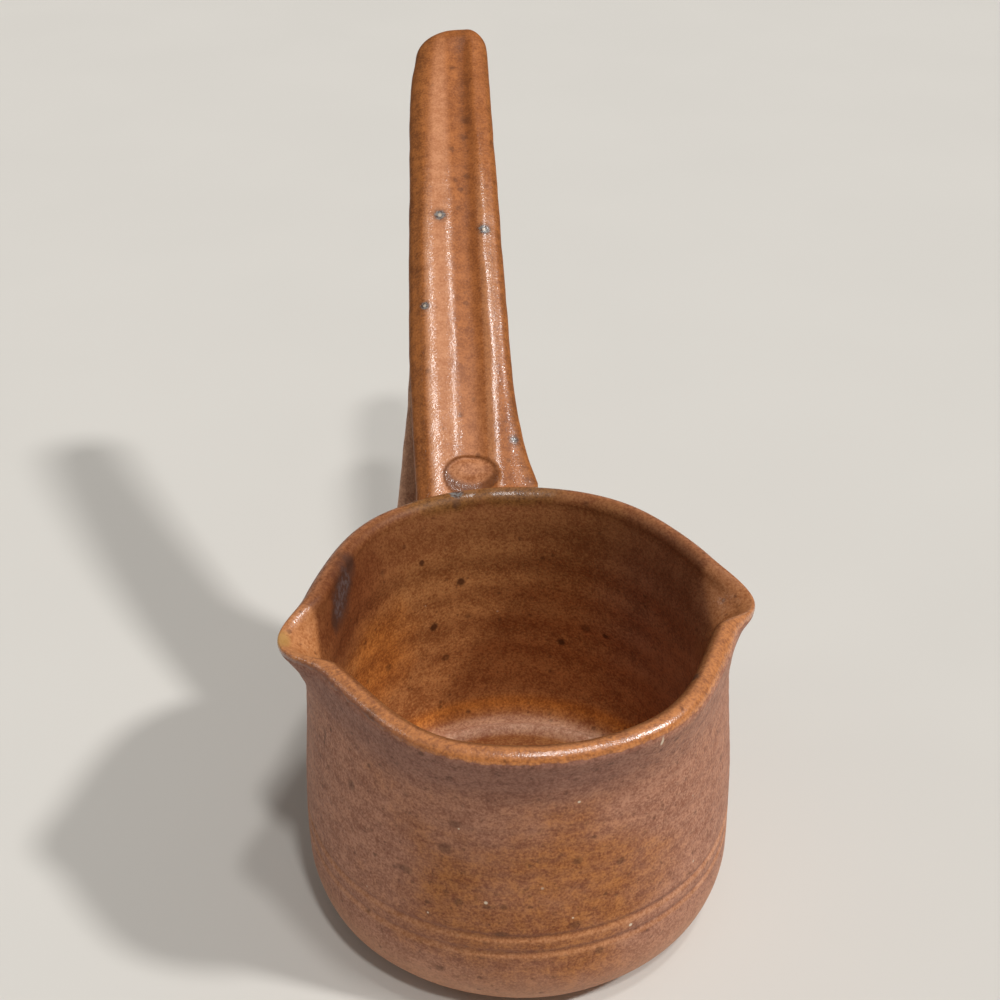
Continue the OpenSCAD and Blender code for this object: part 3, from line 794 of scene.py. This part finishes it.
def grain(tree, coords, size, detail=3.0, rough=0.55):
    """Noise with a grain of about size metres, from 0 to 1."""
    return add(tree, "TexNoise", {"Vector": coords, "Scale": per(size), "Detail": detail, "Roughness": rough})


def specks(tree, coords, pitch, largest):
    """Round soft specks, one to a cell of the pitch, of random size up to largest: the
    distance to the cell's point, against the cell's own random number cubed."""
    cell = {"Vector": coords, "Scale": per(pitch), "Randomness": 1.0}
    distance = add(tree, "TexVoronoi", cell)
    chance = add(tree, "SeparateColor", {"Color": add(tree, "TexVoronoi", cell, out=1)})
    size = add(tree, "Math", {0: chance, 1: 3.0}, operation="POWER")
    size = add(tree, "Math", {0: size, 1: largest / pitch}, operation="MULTIPLY")
    over = add(tree, "Math", {0: size, 1: distance}, operation="SUBTRACT")
    return fitted(tree, over, -0.35 * largest / pitch, 0.35 * largest / pitch)


def scaled(tree, value, factor):
    """A value times a factor."""
    return add(tree, "Math", {0: value, 1: factor}, operation="MULTIPLY")


def marks(tree, coords, places, soft=0.35):
    """Masks of single marks: for each place, a point and its three radii, the scaled
    distance to the point, with its edge softened; the strongest mark wins."""
    total = None
    for point, radii in places:
        moved = add(tree, "VectorMath", {0: coords, 1: tuple(point)}, operation="SUBTRACT")
        divided = add(tree, "VectorMath", {0: moved, 1: tuple(radii)}, operation="DIVIDE")
        distance = add(tree, "VectorMath", {0: divided}, out=1, operation="LENGTH")
        mask = fitted(tree, distance, 1 - soft, 1 + soft, 1.0, 0.0)
        total = mask if total is None else add(tree, "Math", {0: total, 1: mask}, operation="MAXIMUM")
    return total


def shaken(tree, coords, size, amount):
    """Coordinates moved about by a noise, so that a mark gets a ragged edge."""
    noise = add(tree, "TexNoise", {"Vector": coords, "Scale": per(size), "Detail": 2.0}, out=1)
    centred = add(tree, "VectorMath", {0: noise, 1: (0.5, 0.5, 0.5)}, operation="SUBTRACT")
    moved = add(tree, "VectorMath", {0: centred, "Scale": amount}, operation="SCALE")
    return add(tree, "VectorMath", {0: coords, 1: moved}, operation="ADD")


def glaze_skin(tree, coords, peel, pits):
    """The bump of a fired glaze: orange peel with a grain of 1.4 mm, and fine grit of
    0.4 mm that breaks the glints up."""
    skin = add(
        tree,
        "Bump",
        {"Strength": 1.0, "Distance": peel, "Height": grain(tree, coords, 1.4 * MM, 1.0, 0.5)},
    )
    return add(
        tree,
        "Bump",
        {"Strength": 1.0, "Distance": pits, "Height": grain(tree, coords, 0.4 * MM, 1.0, 0.5), "Normal": skin},
    )


def summed(tree, *terms):
    """A weighted sum of values, given as pairs of a value and its weight."""
    total = 0.0
    for value, weight in terms:
        total = add(tree, "Math", {0: value, 1: weight, 2: total}, operation="MULTIPLY_ADD")
    return total


def glassy_shader(tree, base, roughness, normal, coat, coat_roughness):
    """The glaze's shader: a clear glassy coat, IOR 1.6, over the coloured body, which has
    little gloss of its own, so that the colours stay deep beside the glints."""
    return add(
        tree,
        "BsdfPrincipled",
        {
            "Base Color": base,
            "Roughness": roughness,
            "IOR": 1.42,
            "Specular IOR Level": 0.3,
            "Normal": normal,
            "Coat Weight": coat,
            "Coat Roughness": coat_roughness,
            "Coat IOR": 1.6,
            "Coat Normal": normal,
        },
    )


def masks_of(tree, *names):
    """The named masks of the mesh, each from 0 to 1."""
    return [add(tree, "Attribute", {}, out=2, attribute_name=name) for name in names]


def zoned(tree, mottle):
    """Gives a function for the colour of one zone: dark and light by a shared mottling."""

    def zone(dark, light):
        return tint(tree, dark, light, mottle)

    return zone


def outer_glaze(tree, coords, colours, pot, lips):
    """The thin dry glaze outside. Fine grain, blotches and throwing streaks choose between
    dark and light; a slow change chooses between pink, and gold low in front. A mauve band
    lies under the rim, pale clay shows on the scored edges. On the scored lines the pale
    lower side and the darker upper side are also painted light and painted shade."""
    thin, pool = masks_of(tree, "thin", "pool")
    flat = add(tree, "Mapping", {"Vector": coords, "Scale": (1.0, 1.0, 3.0)})
    fine = grain(tree, coords, 0.55 * MM, 2.0, 0.7)
    middle = grain(tree, coords, 2.2 * MM, 3.0, 0.65)
    streak = grain(tree, flat, 6 * MM, 2.0, 0.6)
    broad = grain(tree, coords, 16 * MM, 2.0, 0.55)
    zone = zoned(tree, fitted(tree, summed(tree, (fine, 0.45), (middle, 0.35), (streak, 0.2)), 0.34, 0.66))
    gold_at = marks(tree, shaken(tree, coords, 12 * MM, 14 * MM), [
        (on_wall(-93, 32 * MM, 0, pot, lips), (26 * MM, 20 * MM, 20 * MM)),
    ], 0.6)
    gold = fitted(tree, summed(tree, (gold_at, 0.35), (broad, 0.6), (middle, 0.3)), 0.45, 0.9)
    base = tint(tree, zone(colours.pink_dark, colours.pink), zone(colours.gold_dark, colours.gold), gold)
    height = add(tree, "SeparateXYZ", {"Vector": coords}, out=2)
    to_right = add(tree, "SeparateXYZ", {"Vector": coords}, out=0)
    ragged = summed(tree, (broad, 8 * MM), (height, 1.0))
    band = fitted(tree, ragged, pot.height - 11 * MM, pot.height - 2 * MM, 0.0, 0.9)
    left_of = fitted(tree, to_right, 8 * MM, 32 * MM, 1.0, 0.15)
    band = add(tree, "Math", {0: band, 1: left_of}, operation="MULTIPLY")
    base = tint(tree, base, zone(colours.veil_dark, colours.veil), band)
    base = tint(tree, base, colours.iron, fitted(tree, grain(tree, coords, 1.5 * MM, 2.0, 0.6), 0.6, 0.72, 0.0, 0.35))
    base = tint(tree, base, colours.clay, fitted(tree, ragged, 22 * MM, 9 * MM, 0.0, 0.5))
    # Pale clay on each scored line's lower side, also painted light on that flank.
    base = tint(tree, base, zone(colours.gold, colours.clay), scaled(tree, thin, 0.4))
    # Darker pooled glaze under each scored line's upper edge, also painted shade there.
    return tint(tree, base, colours.pink_dark, scaled(tree, pool, 0.35))


def inner_glaze(tree, coords, colours, pot, lips):
    """The thicker amber glaze inside: one mottling in three sizes, russet behind the left
    lip with an orange flash below it, duller umber at the right, which is painted shade,
    honey where it ran into the floor's corner, pink on the floor's ring, paled there by a
    painted sheen."""
    pool, rings, floor, ring = masks_of(tree, "pool", "rings", "floor", "ring")
    fine = grain(tree, coords, 0.6 * MM, 2.0, 0.7)
    middle = grain(tree, coords, 2.4 * MM, 3.0, 0.65)
    broad = grain(tree, coords, 10 * MM, 3.0, 0.55)
    zone = zoned(tree, fitted(
        tree, summed(tree, (fine, 0.45), (middle, 0.3), (broad, 0.25), (rings, 0.02)), 0.35, 0.65))
    places = shaken(tree, coords, 7 * MM, 9 * MM)
    base = zone(colours.amber_dark, colours.amber)
    for dark, light, place, radii, amount in (
        # Umber here is painted shade on the right inner wall.
        (colours.umber_shade_dark, colours.umber_shade, (25, 46), (16, 24, 26), 0.8),
        (colours.honey_dark, colours.honey, (139, 37), (11, 11, 13), 0.85),
        (colours.russet_dark, colours.russet, (156, 60), (13, 20, 13), 0.8),
    ):
        at = on_wall(place[0], place[1] * MM, 1, pot, lips)
        mask = marks(tree, places, [(at, tuple(size * MM for size in radii))], 0.55)
        base = tint(tree, base, zone(dark, light), scaled(tree, mask, amount))
    height = add(tree, "SeparateXYZ", {"Vector": coords}, out=2)
    high = fitted(tree, height, pot.height - 26 * MM, pot.height - 3 * MM, 0.0, 0.55)
    base = tint(tree, base, colours.russet_dark, high)
    base = tint(tree, base, zone(colours.russet, colours.amber), floor)
    base = tint(tree, base, zone(colours.honey_dark, colours.honey), pool)
    # The floor ring, paled by a painted sheen.
    return tint(tree, base, zone(colours.ring_dark, colours.ring), ring)


def pot_marks(tree, coords, base, colours, pot, lips):
    """Single marks on the pot's glaze: iron specks, the grey scorch inside the left lip,
    pale grit, one pale streak that is a painted glint, dark scratches, ash at the lip,
    the rim's glassy chip."""
    shaky = shaken(tree, coords, 0.8 * MM, 0.8 * MM)
    base = tint(tree, base, colours.iron, scaled(tree, specks(tree, shaky, 2.4 * MM, 0.55 * MM), 0.5))
    base = tint(tree, base, colours.iron, scaled(tree, specks(tree, shaky, 6.5 * MM, 1.1 * MM), 0.55))
    base = tint(tree, base, colours.pale, scaled(tree, specks(tree, coords, 8 * MM, 0.34 * MM), 0.5))
    for side, amount in ((0, 0.5), (1, 0.9)):
        dots = marks(tree, shaky, [
            (on_wall(degrees, z * MM, inside, pot, lips), (wide * MM, wide * MM, high * MM))
            for degrees, z, inside, wide, high in DARK_SPOTS if inside == side
        ], 0.45)
        base = tint(tree, base, colours.iron, scaled(tree, dots, amount))
    # Pale grit, and one tall pale streak that is a painted glint.
    grit_and_glint = marks(tree, coords, [
        (on_wall(degrees, z * MM, 0, pot, lips), (wide * MM, wide * MM, high * MM))
        for degrees, z, wide, high in PALE_GRIT_AND_GLINT
    ], 0.35)
    base = tint(tree, base, colours.pale, scaled(tree, grit_and_glint, 0.9))

    ragged = shaken(tree, shaken(tree, coords, 3 * MM, 2.4 * MM), 0.7 * MM, 0.9 * MM)
    blaze = [(on_wall(degrees, z * MM, 1, pot, lips), size) for degrees, z, size in SCORCH]
    burnt = marks(tree, ragged, [(at, (1.7 * size * MM, 1.7 * size * MM, 2.4 * size * MM)) for at, size in blaze], 0.6)
    base = tint(tree, base, colours.scorch, scaled(tree, burnt, 0.9))
    smoke = marks(tree, ragged, [(at, (size * MM, size * MM, 1.5 * size * MM)) for at, size in blaze[1:4]], 0.7)
    veins = fitted(tree, grain(tree, coords, 1.1 * MM, 3.0, 0.6), 0.42, 0.6, 0.1, 0.85)
    base = tint(tree, base, colours.smoke, add(tree, "Math", {0: smoke, 1: veins}, operation="MULTIPLY"))
    olive_tip = marks(tree, shaky, [((-47 * MM, -4.8 * MM, 68.3 * MM), (1.6 * MM, 2.4 * MM, 1.6 * MM))], 0.5)
    base = tint(tree, base, colours.ash, scaled(tree, olive_tip, 0.6))
    chip_r = pot.rim_d / 2 - rim_half(pot)
    chip_at = RIM_CHIP[0] * DEGREE
    chip = (chip_r * math.cos(chip_at), chip_r * math.sin(chip_at), pot.height)
    nick = marks(tree, shaky, [((30.6 * MM, -26.2 * MM, 69.6 * MM), (1.1 * MM, 1.2 * MM, 1 * MM))], 0.4)
    base = tint(tree, base, colours.scorch, scaled(tree, nick, 0.75))
    run_down = marks(tree, shaky, [(on_wall(RIM_CHIP[0] + 1, 69.3 * MM, 1, pot, lips), (1.1 * MM, 1.3 * MM, 1.3 * MM))], 0.5)
    base = tint(tree, base, colours.scorch, scaled(tree, run_down, 0.6))
    stone = marks(tree, shaken(tree, coords, 0.8 * MM, 1.0 * MM), [(chip, (1.5 * MM, 1.4 * MM, 1.6 * MM))], 0.3)
    stone_tone = tint(tree, colours.scorch, colours.slag, fitted(tree, grain(tree, coords, 0.8 * MM), 0.4, 0.55))
    return tint(tree, base, stone_tone, stone)


def pot_glaze(colours, pot, lips):
    """Wood-fired stoneware under a thin ash glaze. Outside it is dry and mottled; inside
    it is thicker, glossy and amber, and ends in a clear line at the outer edge of the rim,
    over which it broke to a freckled orange, with a line where it stopped: golden in the
    middle and at the right, and dark and heavier at the left, where the extra darkness is
    painted shade on the outer edge. The lips' hollows are painted lighter, as painted light."""
    material, tree, coords = new_material("ash_glazed_stoneware_pot")
    rim, hollow, floor = masks_of(tree, "rim", "hollow", "floor")
    outside = outer_glaze(tree, coords, colours, pot, lips)
    within = inner_glaze(tree, coords, colours, pot, lips)
    fine = grain(tree, coords, 0.6 * MM, 2.0, 0.65)
    freckle = grain(tree, coords, 1.7 * MM, 3.0, 0.65)
    zone = zoned(tree, fitted(tree, summed(tree, (fine, 0.55), (freckle, 0.45)), 0.3, 0.64))
    ragged = summed(tree, (freckle, 0.16), (rim, 1.0))
    over = fitted(tree, ragged, 0.17, 0.22)
    base = tint(tree, outside, within, over)
    crest = add(tree, "Math", {0: over, 1: fitted(tree, ragged, 0.55, 0.7, 1.0, 0.0)}, operation="MULTIPLY")
    # The lips' hollows take the rim's orange too, as part of their painted light.
    crest = add(tree, "Math", {0: crest, 1: hollow}, operation="MAXIMUM")
    far = fitted(tree, add(tree, "SeparateXYZ", {"Vector": coords}, out=1), -3 * MM, 9 * MM)
    broke = tint(tree, zone(colours.rim_dark, colours.rim), zone(colours.far_rim_dark, colours.far_rim), far)
    base = tint(tree, base, broke, scaled(tree, crest, 0.92))
    # Painted light: the lips' hollows painted lighter.
    base = tint(tree, base, zone(colours.trough, colours.edge), scaled(tree, hollow, 0.6))
    by_handle = marks(tree, shaken(tree, coords, 3 * MM, 3 * MM), [
        (((x * MM, y * MM, pot.height)), (11 * MM, 4.5 * MM, 3 * MM)) for x, y in ((4, 42.2), (-13, 41))
    ], 0.35)
    base = tint(tree, base, zone(colours.olive_dark, colours.olive), add(
        tree, "Math", {0: over, 1: scaled(tree, by_handle, 0.75)}, operation="MULTIPLY"))
    # The stop line: its heavier dark at the left is painted shade on the outer edge.
    stop = add(tree, "Math", {0: over, 1: fitted(tree, ragged, 0.22, 0.4, 1.0, 0.0)}, operation="MULTIPLY")
    in_front = fitted(tree, add(tree, "SeparateXYZ", {"Vector": coords}, out=0), -32 * MM, -12 * MM)
    edge = tint(tree, colours.veil_dark, zone(colours.honey_dark, colours.honey), in_front)
    left_shade_strength = fitted(tree, in_front, 0.0, 1.0, 0.9, 0.45)
    base = tint(tree, base, edge, add(tree, "Math", {0: stop, 1: left_shade_strength}, operation="MULTIPLY"))
    base = pot_marks(tree, coords, base, colours, pot, lips)
    skin = glaze_skin(tree, coords, 0.03 * MM, 0.055 * MM)
    dry = add(
        tree,
        "BsdfPrincipled",
        {
            "Base Color": base,
            "Roughness": fitted(tree, fine, 0.3, 0.7, 0.52, 0.64),
            "Specular IOR Level": 0.3,
            "Normal": skin,
        },
    )
    glint = grain(tree, coords, 0.4 * MM, 1.0, 0.5)
    shine = marks(tree, shaken(tree, coords, 3 * MM, 3 * MM), [
        ((7 * MM, 42.5 * MM, pot.height), (9 * MM, 3 * MM, 3 * MM)),
        ((-7 * MM, 43 * MM, pot.height), (2 * MM, 2 * MM, 2 * MM)),
    ])
    wet = fitted(tree, summed(
        tree, (freckle, 0.5), (glint, 0.5), (floor, -0.12), (crest, 0.3), (far, -0.3), (shine, 0.5)), 0.42, 0.75)
    matt = fitted(tree, summed(tree, (freckle, 1.0), (crest, -0.5), (far, 0.6)), -0.2, 0.9, 0.3, 0.55)
    glaze = glassy_shader(tree, base, matt, skin, wet, 0.26)
    add(tree, "OutputMaterial", {"Surface": add(tree, "MixShader", {0: over, 1: dry, 2: glaze})})
    return material


def strap_glaze(colours, strap, pot):
    """The same stoneware with a thicker ash glaze. Each zone of the strap has a light and
    a dark colour and one mottling chooses between them: brown margins, a pink facet, a
    golden trough with a dark line along its steep side. The facet's pale pink is partly a
    painted sheen; the dark line is pooled glaze and painted shade; the paler lower run is
    painted light, bounced on to it. The crests broke to a paler glassy skin that sparkles;
    a few drops of iron melted to grey slag."""
    material, tree, coords = new_material("ash_glazed_stoneware_strap")
    crest, margin, pool, facet_sheen = masks_of(tree, "crest", "margin", "pool", "facet_sheen")
    seal, oval, under = masks_of(tree, "seal", "oval", "under")
    fine = grain(tree, coords, 0.5 * MM, 2.0, 0.6)
    middle = grain(tree, coords, 2.4 * MM, 3.0, 0.6)
    broad = grain(tree, coords, 9 * MM, 2.0, 0.5)
    zone = zoned(tree, fitted(tree, summed(tree, (fine, 0.45), (middle, 0.4), (broad, 0.15)), 0.35, 0.65))
    base = zone(colours.trough_dark, colours.trough)
    # Pooled glaze and painted shade along the trough's steep side.
    base = tint(tree, base, zone(colours.pooled_and_shaded, colours.trough_dark), scaled(tree, pool, 0.8))
    # The facet, paled by a painted sheen.
    base = tint(tree, base, zone(colours.facet_sheen_dark, colours.facet_sheen), facet_sheen)
    base = tint(tree, base, zone(colours.margin_dark, colours.margin), margin)
    # Painted light: the lower run painted paler, for light bounced on to it.
    base = tint(tree, base, zone(colours.under_dark, colours.under), under)
    worn = summed(tree, (crest, 0.6), (fine, 0.5))
    base = tint(tree, base, colours.edge, fitted(tree, worn, 0.55, 0.95, 0.0, 0.4))
    base = tint(tree, base, zone(colours.trough_dark, colours.facet_sheen), scaled(tree, oval, 0.6))
    # The seal: pooled glaze in its crescent, and a painted shadow along the upper left of its edge.
    base = tint(tree, base, zone(colours.pooled_and_shaded, colours.margin_dark), scaled(tree, seal, 0.95))
    shaky = shaken(tree, coords, 0.9 * MM, 0.7 * MM)
    base = tint(tree, base, colours.iron, scaled(tree, specks(tree, shaky, 3.4 * MM, 0.7 * MM), 0.4))
    brown = marks(tree, shaken(tree, coords, 1.2 * MM, 1.4 * MM), [
        (on_strap(side * MM, along * MM, strap, pot), (size * MM,) * 3)
        for side, along, size in (
            (0.7, 119.4, 0.8), (-0.2, 92.6, 0.7), (1.7, 80.2, 0.7), (3.9, 102.2, 1.3), (3.4, 84.6, 0.8), (3, 96.6, 0.9))
    ], 0.7)
    base = tint(tree, base, colours.iron, scaled(tree, brown, 0.5))
    drops = [
        (on_strap(side * MM, along * MM, strap, pot), (size * MM,) * 3)
        for side, along, size in ((-3.6, 72.7, 1.3), (7, 68.6, 1.25), (-7.9, 46.9, 1.0), (11.6, 12.7, 1.05))
    ]
    drop_coords = shaken(tree, coords, 0.8 * MM, 0.9 * MM)
    halo = marks(tree, drop_coords, [(at, tuple(1.5 * r for r in radii)) for at, radii in drops], 0.4)
    base = tint(tree, base, colours.iron, scaled(tree, halo, 0.5))
    slag = marks(tree, drop_coords, drops, 0.3)
    slag_tone = tint(tree, colours.scorch, colours.slag, fitted(tree, fine, 0.4, 0.58))
    base = tint(tree, base, slag_tone, slag)
    glassy_dot = marks(tree, coords, [(at, tuple(0.35 * r for r in radii)) for at, radii in drops], 0.5)
    base = tint(tree, base, colours.pale, scaled(tree, glassy_dot, 0.6))
    rough = fitted(tree, crest, 0.0, 1.0, 0.5, 0.38)
    glint = grain(tree, coords, 0.32 * MM, 1.0, 0.5)
    glassy = fitted(tree, summed(tree, (glint, 1.0), (crest, 0.5)), 0.72, 0.95)
    shader = glassy_shader(tree, base, rough, glaze_skin(tree, coords, 0.04 * MM, 0.05 * MM), glassy, 0.22)
    add(tree, "OutputMaterial", {"Surface": shader})
    return material


def floor_paper(studio):
    """Matt paper: pale, with a faint cloudiness."""
    material, tree, coords = new_material("matt_paper_floor")
    cloud = grain(tree, coords, 90 * MM, 2.0, 0.5)
    pale = tuple(studio.floor_tone)
    darker = tuple(c * 0.985 for c in pale[:3]) + (1.0,)
    base = tint(tree, darker, pale, fitted(tree, cloud, 0.3, 0.7))
    shader = add(tree, "BsdfPrincipled", {"Base Color": base, "Roughness": 0.75})
    add(tree, "OutputMaterial", {"Surface": shader})
    return material


# Operators


class BUTTERWARMER_OT_pot(bpy.types.Operator):
    """Makes the thrown pot with its lips, throwing rings, scored lines and glaze."""

    bl_idname = "butterwarmer.pot"
    bl_label = "Thrown pot"

    def execute(self, context):
        scene = context.scene
        points, masks = pot_surface(scene.pot_sizes, scene.lip_sizes)
        piece = closed_skin("thrown_pot", points, masks)
        piece.data.materials.append(pot_glaze(scene.glaze_colours, scene.pot_sizes, scene.lip_sizes))
        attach(piece, "root")
        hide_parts("pot")
        return {"FINISHED"}


class BUTTERWARMER_OT_handle(bpy.types.Operator):
    """Makes the doubled strap handle with its trough, ridges, roots, seal hollow and glaze."""

    bl_idname = "butterwarmer.handle"
    bl_label = "Strap handle"

    def execute(self, context):
        scene = context.scene
        points, masks = strap_surface(scene.strap_sizes, scene.pot_sizes, scene.lip_sizes)
        piece = closed_skin("strap_handle", points, masks)
        piece.data.materials.append(strap_glaze(scene.glaze_colours, scene.strap_sizes, scene.pot_sizes))
        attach(piece, "root")
        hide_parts("handle")
        return {"FINISHED"}


CAMERA_AT = Vector((-26.9, -241.7, 247.7)) * MM
CAMERA_LOOK = Vector((0.0811, 0.8426, -0.5325))
CAMERA_ROLL = 0.19 * DEGREE
# Where each lamp's light comes from, and how wide the lamp looks, in degrees
KEY_FROM, KEY_WIDE = Vector((0.65, -0.21, 0.73)), 5.0
TOP_FROM, TOP_WIDE = Vector((0.14, -0.40, 0.90)), 5.0
RAIL_FROM, RAIL_WIDE = Vector((0.2, -0.12, 0.97)), 5.0
SIDE_FROM, SIDE_WIDE = Vector((-0.8, 0.1, 0.55)), 12.0
SKY_FROM, SKY_WIDE = Vector((0.0, 0.0, 1.0)), 120.0
FLOOR_HALF = 3.0


class BUTTERWARMER_OT_stage(bpy.types.Operator):
    """Lays the pale floor and sets the camera, five lamps and the room's light."""

    bl_idname = "butterwarmer.stage"
    bl_label = "Studio"

    def execute(self, context):
        scene, studio = context.scene, context.scene.studio_settings
        mesh = bpy.data.meshes.new("floor")
        corners = [(x * FLOOR_HALF, y * FLOOR_HALF, 0) for x, y in ((-1, -1), (1, -1), (1, 1), (-1, 1))]
        mesh.from_pydata(corners, [], [(0, 1, 2, 3)])
        mesh.materials.append(floor_paper(studio))
        floor = bpy.data.objects.new("floor", mesh)
        scene.collection.objects.link(floor)
        for name, way, wide, power in (
            ("key_lamp", KEY_FROM, KEY_WIDE, studio.key_power),
            ("top_lamp", TOP_FROM, TOP_WIDE, studio.top_power),
            ("rail_lamp", RAIL_FROM, RAIL_WIDE, studio.rail_power),
            ("side_lamp", SIDE_FROM, SIDE_WIDE, studio.side_power),
            ("ceiling_lamp", SKY_FROM, SKY_WIDE, studio.sky_power),
        ):
            lamp = bpy.data.lights.new(name, "SUN")
            lamp.energy = power
            lamp.angle = wide * DEGREE
            lamp_object = bpy.data.objects.new(name, lamp)
            lamp_object.rotation_euler = way.to_track_quat("Z", "Y").to_euler()
            scene.collection.objects.link(lamp_object)
        world = bpy.data.worlds.new("room")
        world.use_nodes = True
        world.node_tree.nodes["Background"].inputs["Color"].default_value = linear("#fffaf2")
        world.node_tree.nodes["Background"].inputs["Strength"].default_value = studio.room
        scene.world = world
        camera = bpy.data.cameras.new("camera")
        camera.lens = studio.lens
        camera.sensor_width = 36
        camera_object = bpy.data.objects.new("camera", camera)
        turned = CAMERA_LOOK.to_track_quat("-Z", "Y").to_matrix().to_4x4()
        camera_object.matrix_world = (
            Matrix.Translation(CAMERA_AT) @ turned @ Matrix.Rotation(-CAMERA_ROLL, 4, "Z")
        )
        scene.collection.objects.link(camera_object)
        scene.camera = camera_object
        scene.view_settings.view_transform = "Standard"
        return {"FINISHED"}


class BUTTERWARMER_PT_panel(bpy.types.Panel):
    """Lists the pieces of the butter warmer and their sizes."""

    bl_idname = "BUTTERWARMER_PT_panel"
    bl_label = "Butter warmer"
    bl_space_type = "VIEW_3D"
    bl_region_type = "UI"
    bl_category = "Butter warmer"

    def draw(self, context):
        for operator in OPERATORS:
            self.layout.operator(operator.bl_idname)
        for name in GROUPS:
            box = self.layout.box()
            group = getattr(context.scene, name)
            for field in group.__annotations__:
                box.prop(group, field)


OPERATORS = (BUTTERWARMER_OT_pot, BUTTERWARMER_OT_handle, BUTTERWARMER_OT_stage)
GROUPS = {
    "pot_sizes": PotSizes,
    "lip_sizes": LipSizes,
    "strap_sizes": StrapSizes,
    "glaze_colours": GlazeColours,
    "studio_settings": StudioSettings,
}


def register():
    for group in GROUPS.values():
        bpy.utils.register_class(group)
    for name, group in GROUPS.items():
        setattr(bpy.types.Scene, name, PointerProperty(type=group))
    for item in (*OPERATORS, BUTTERWARMER_PT_panel):
        bpy.utils.register_class(item)


def unregister():
    for item in (BUTTERWARMER_PT_panel, *reversed(OPERATORS)):
        bpy.utils.unregister_class(item)
    for name in GROUPS:
        delattr(bpy.types.Scene, name)
    for group in reversed(GROUPS.values()):
        bpy.utils.unregister_class(group)


def main():
    """Registers the add-on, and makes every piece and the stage."""
    register()
    bpy.ops.butterwarmer.pot()
    bpy.ops.butterwarmer.handle()
    bpy.ops.butterwarmer.stage()


if __name__ == "__main__":
    main()
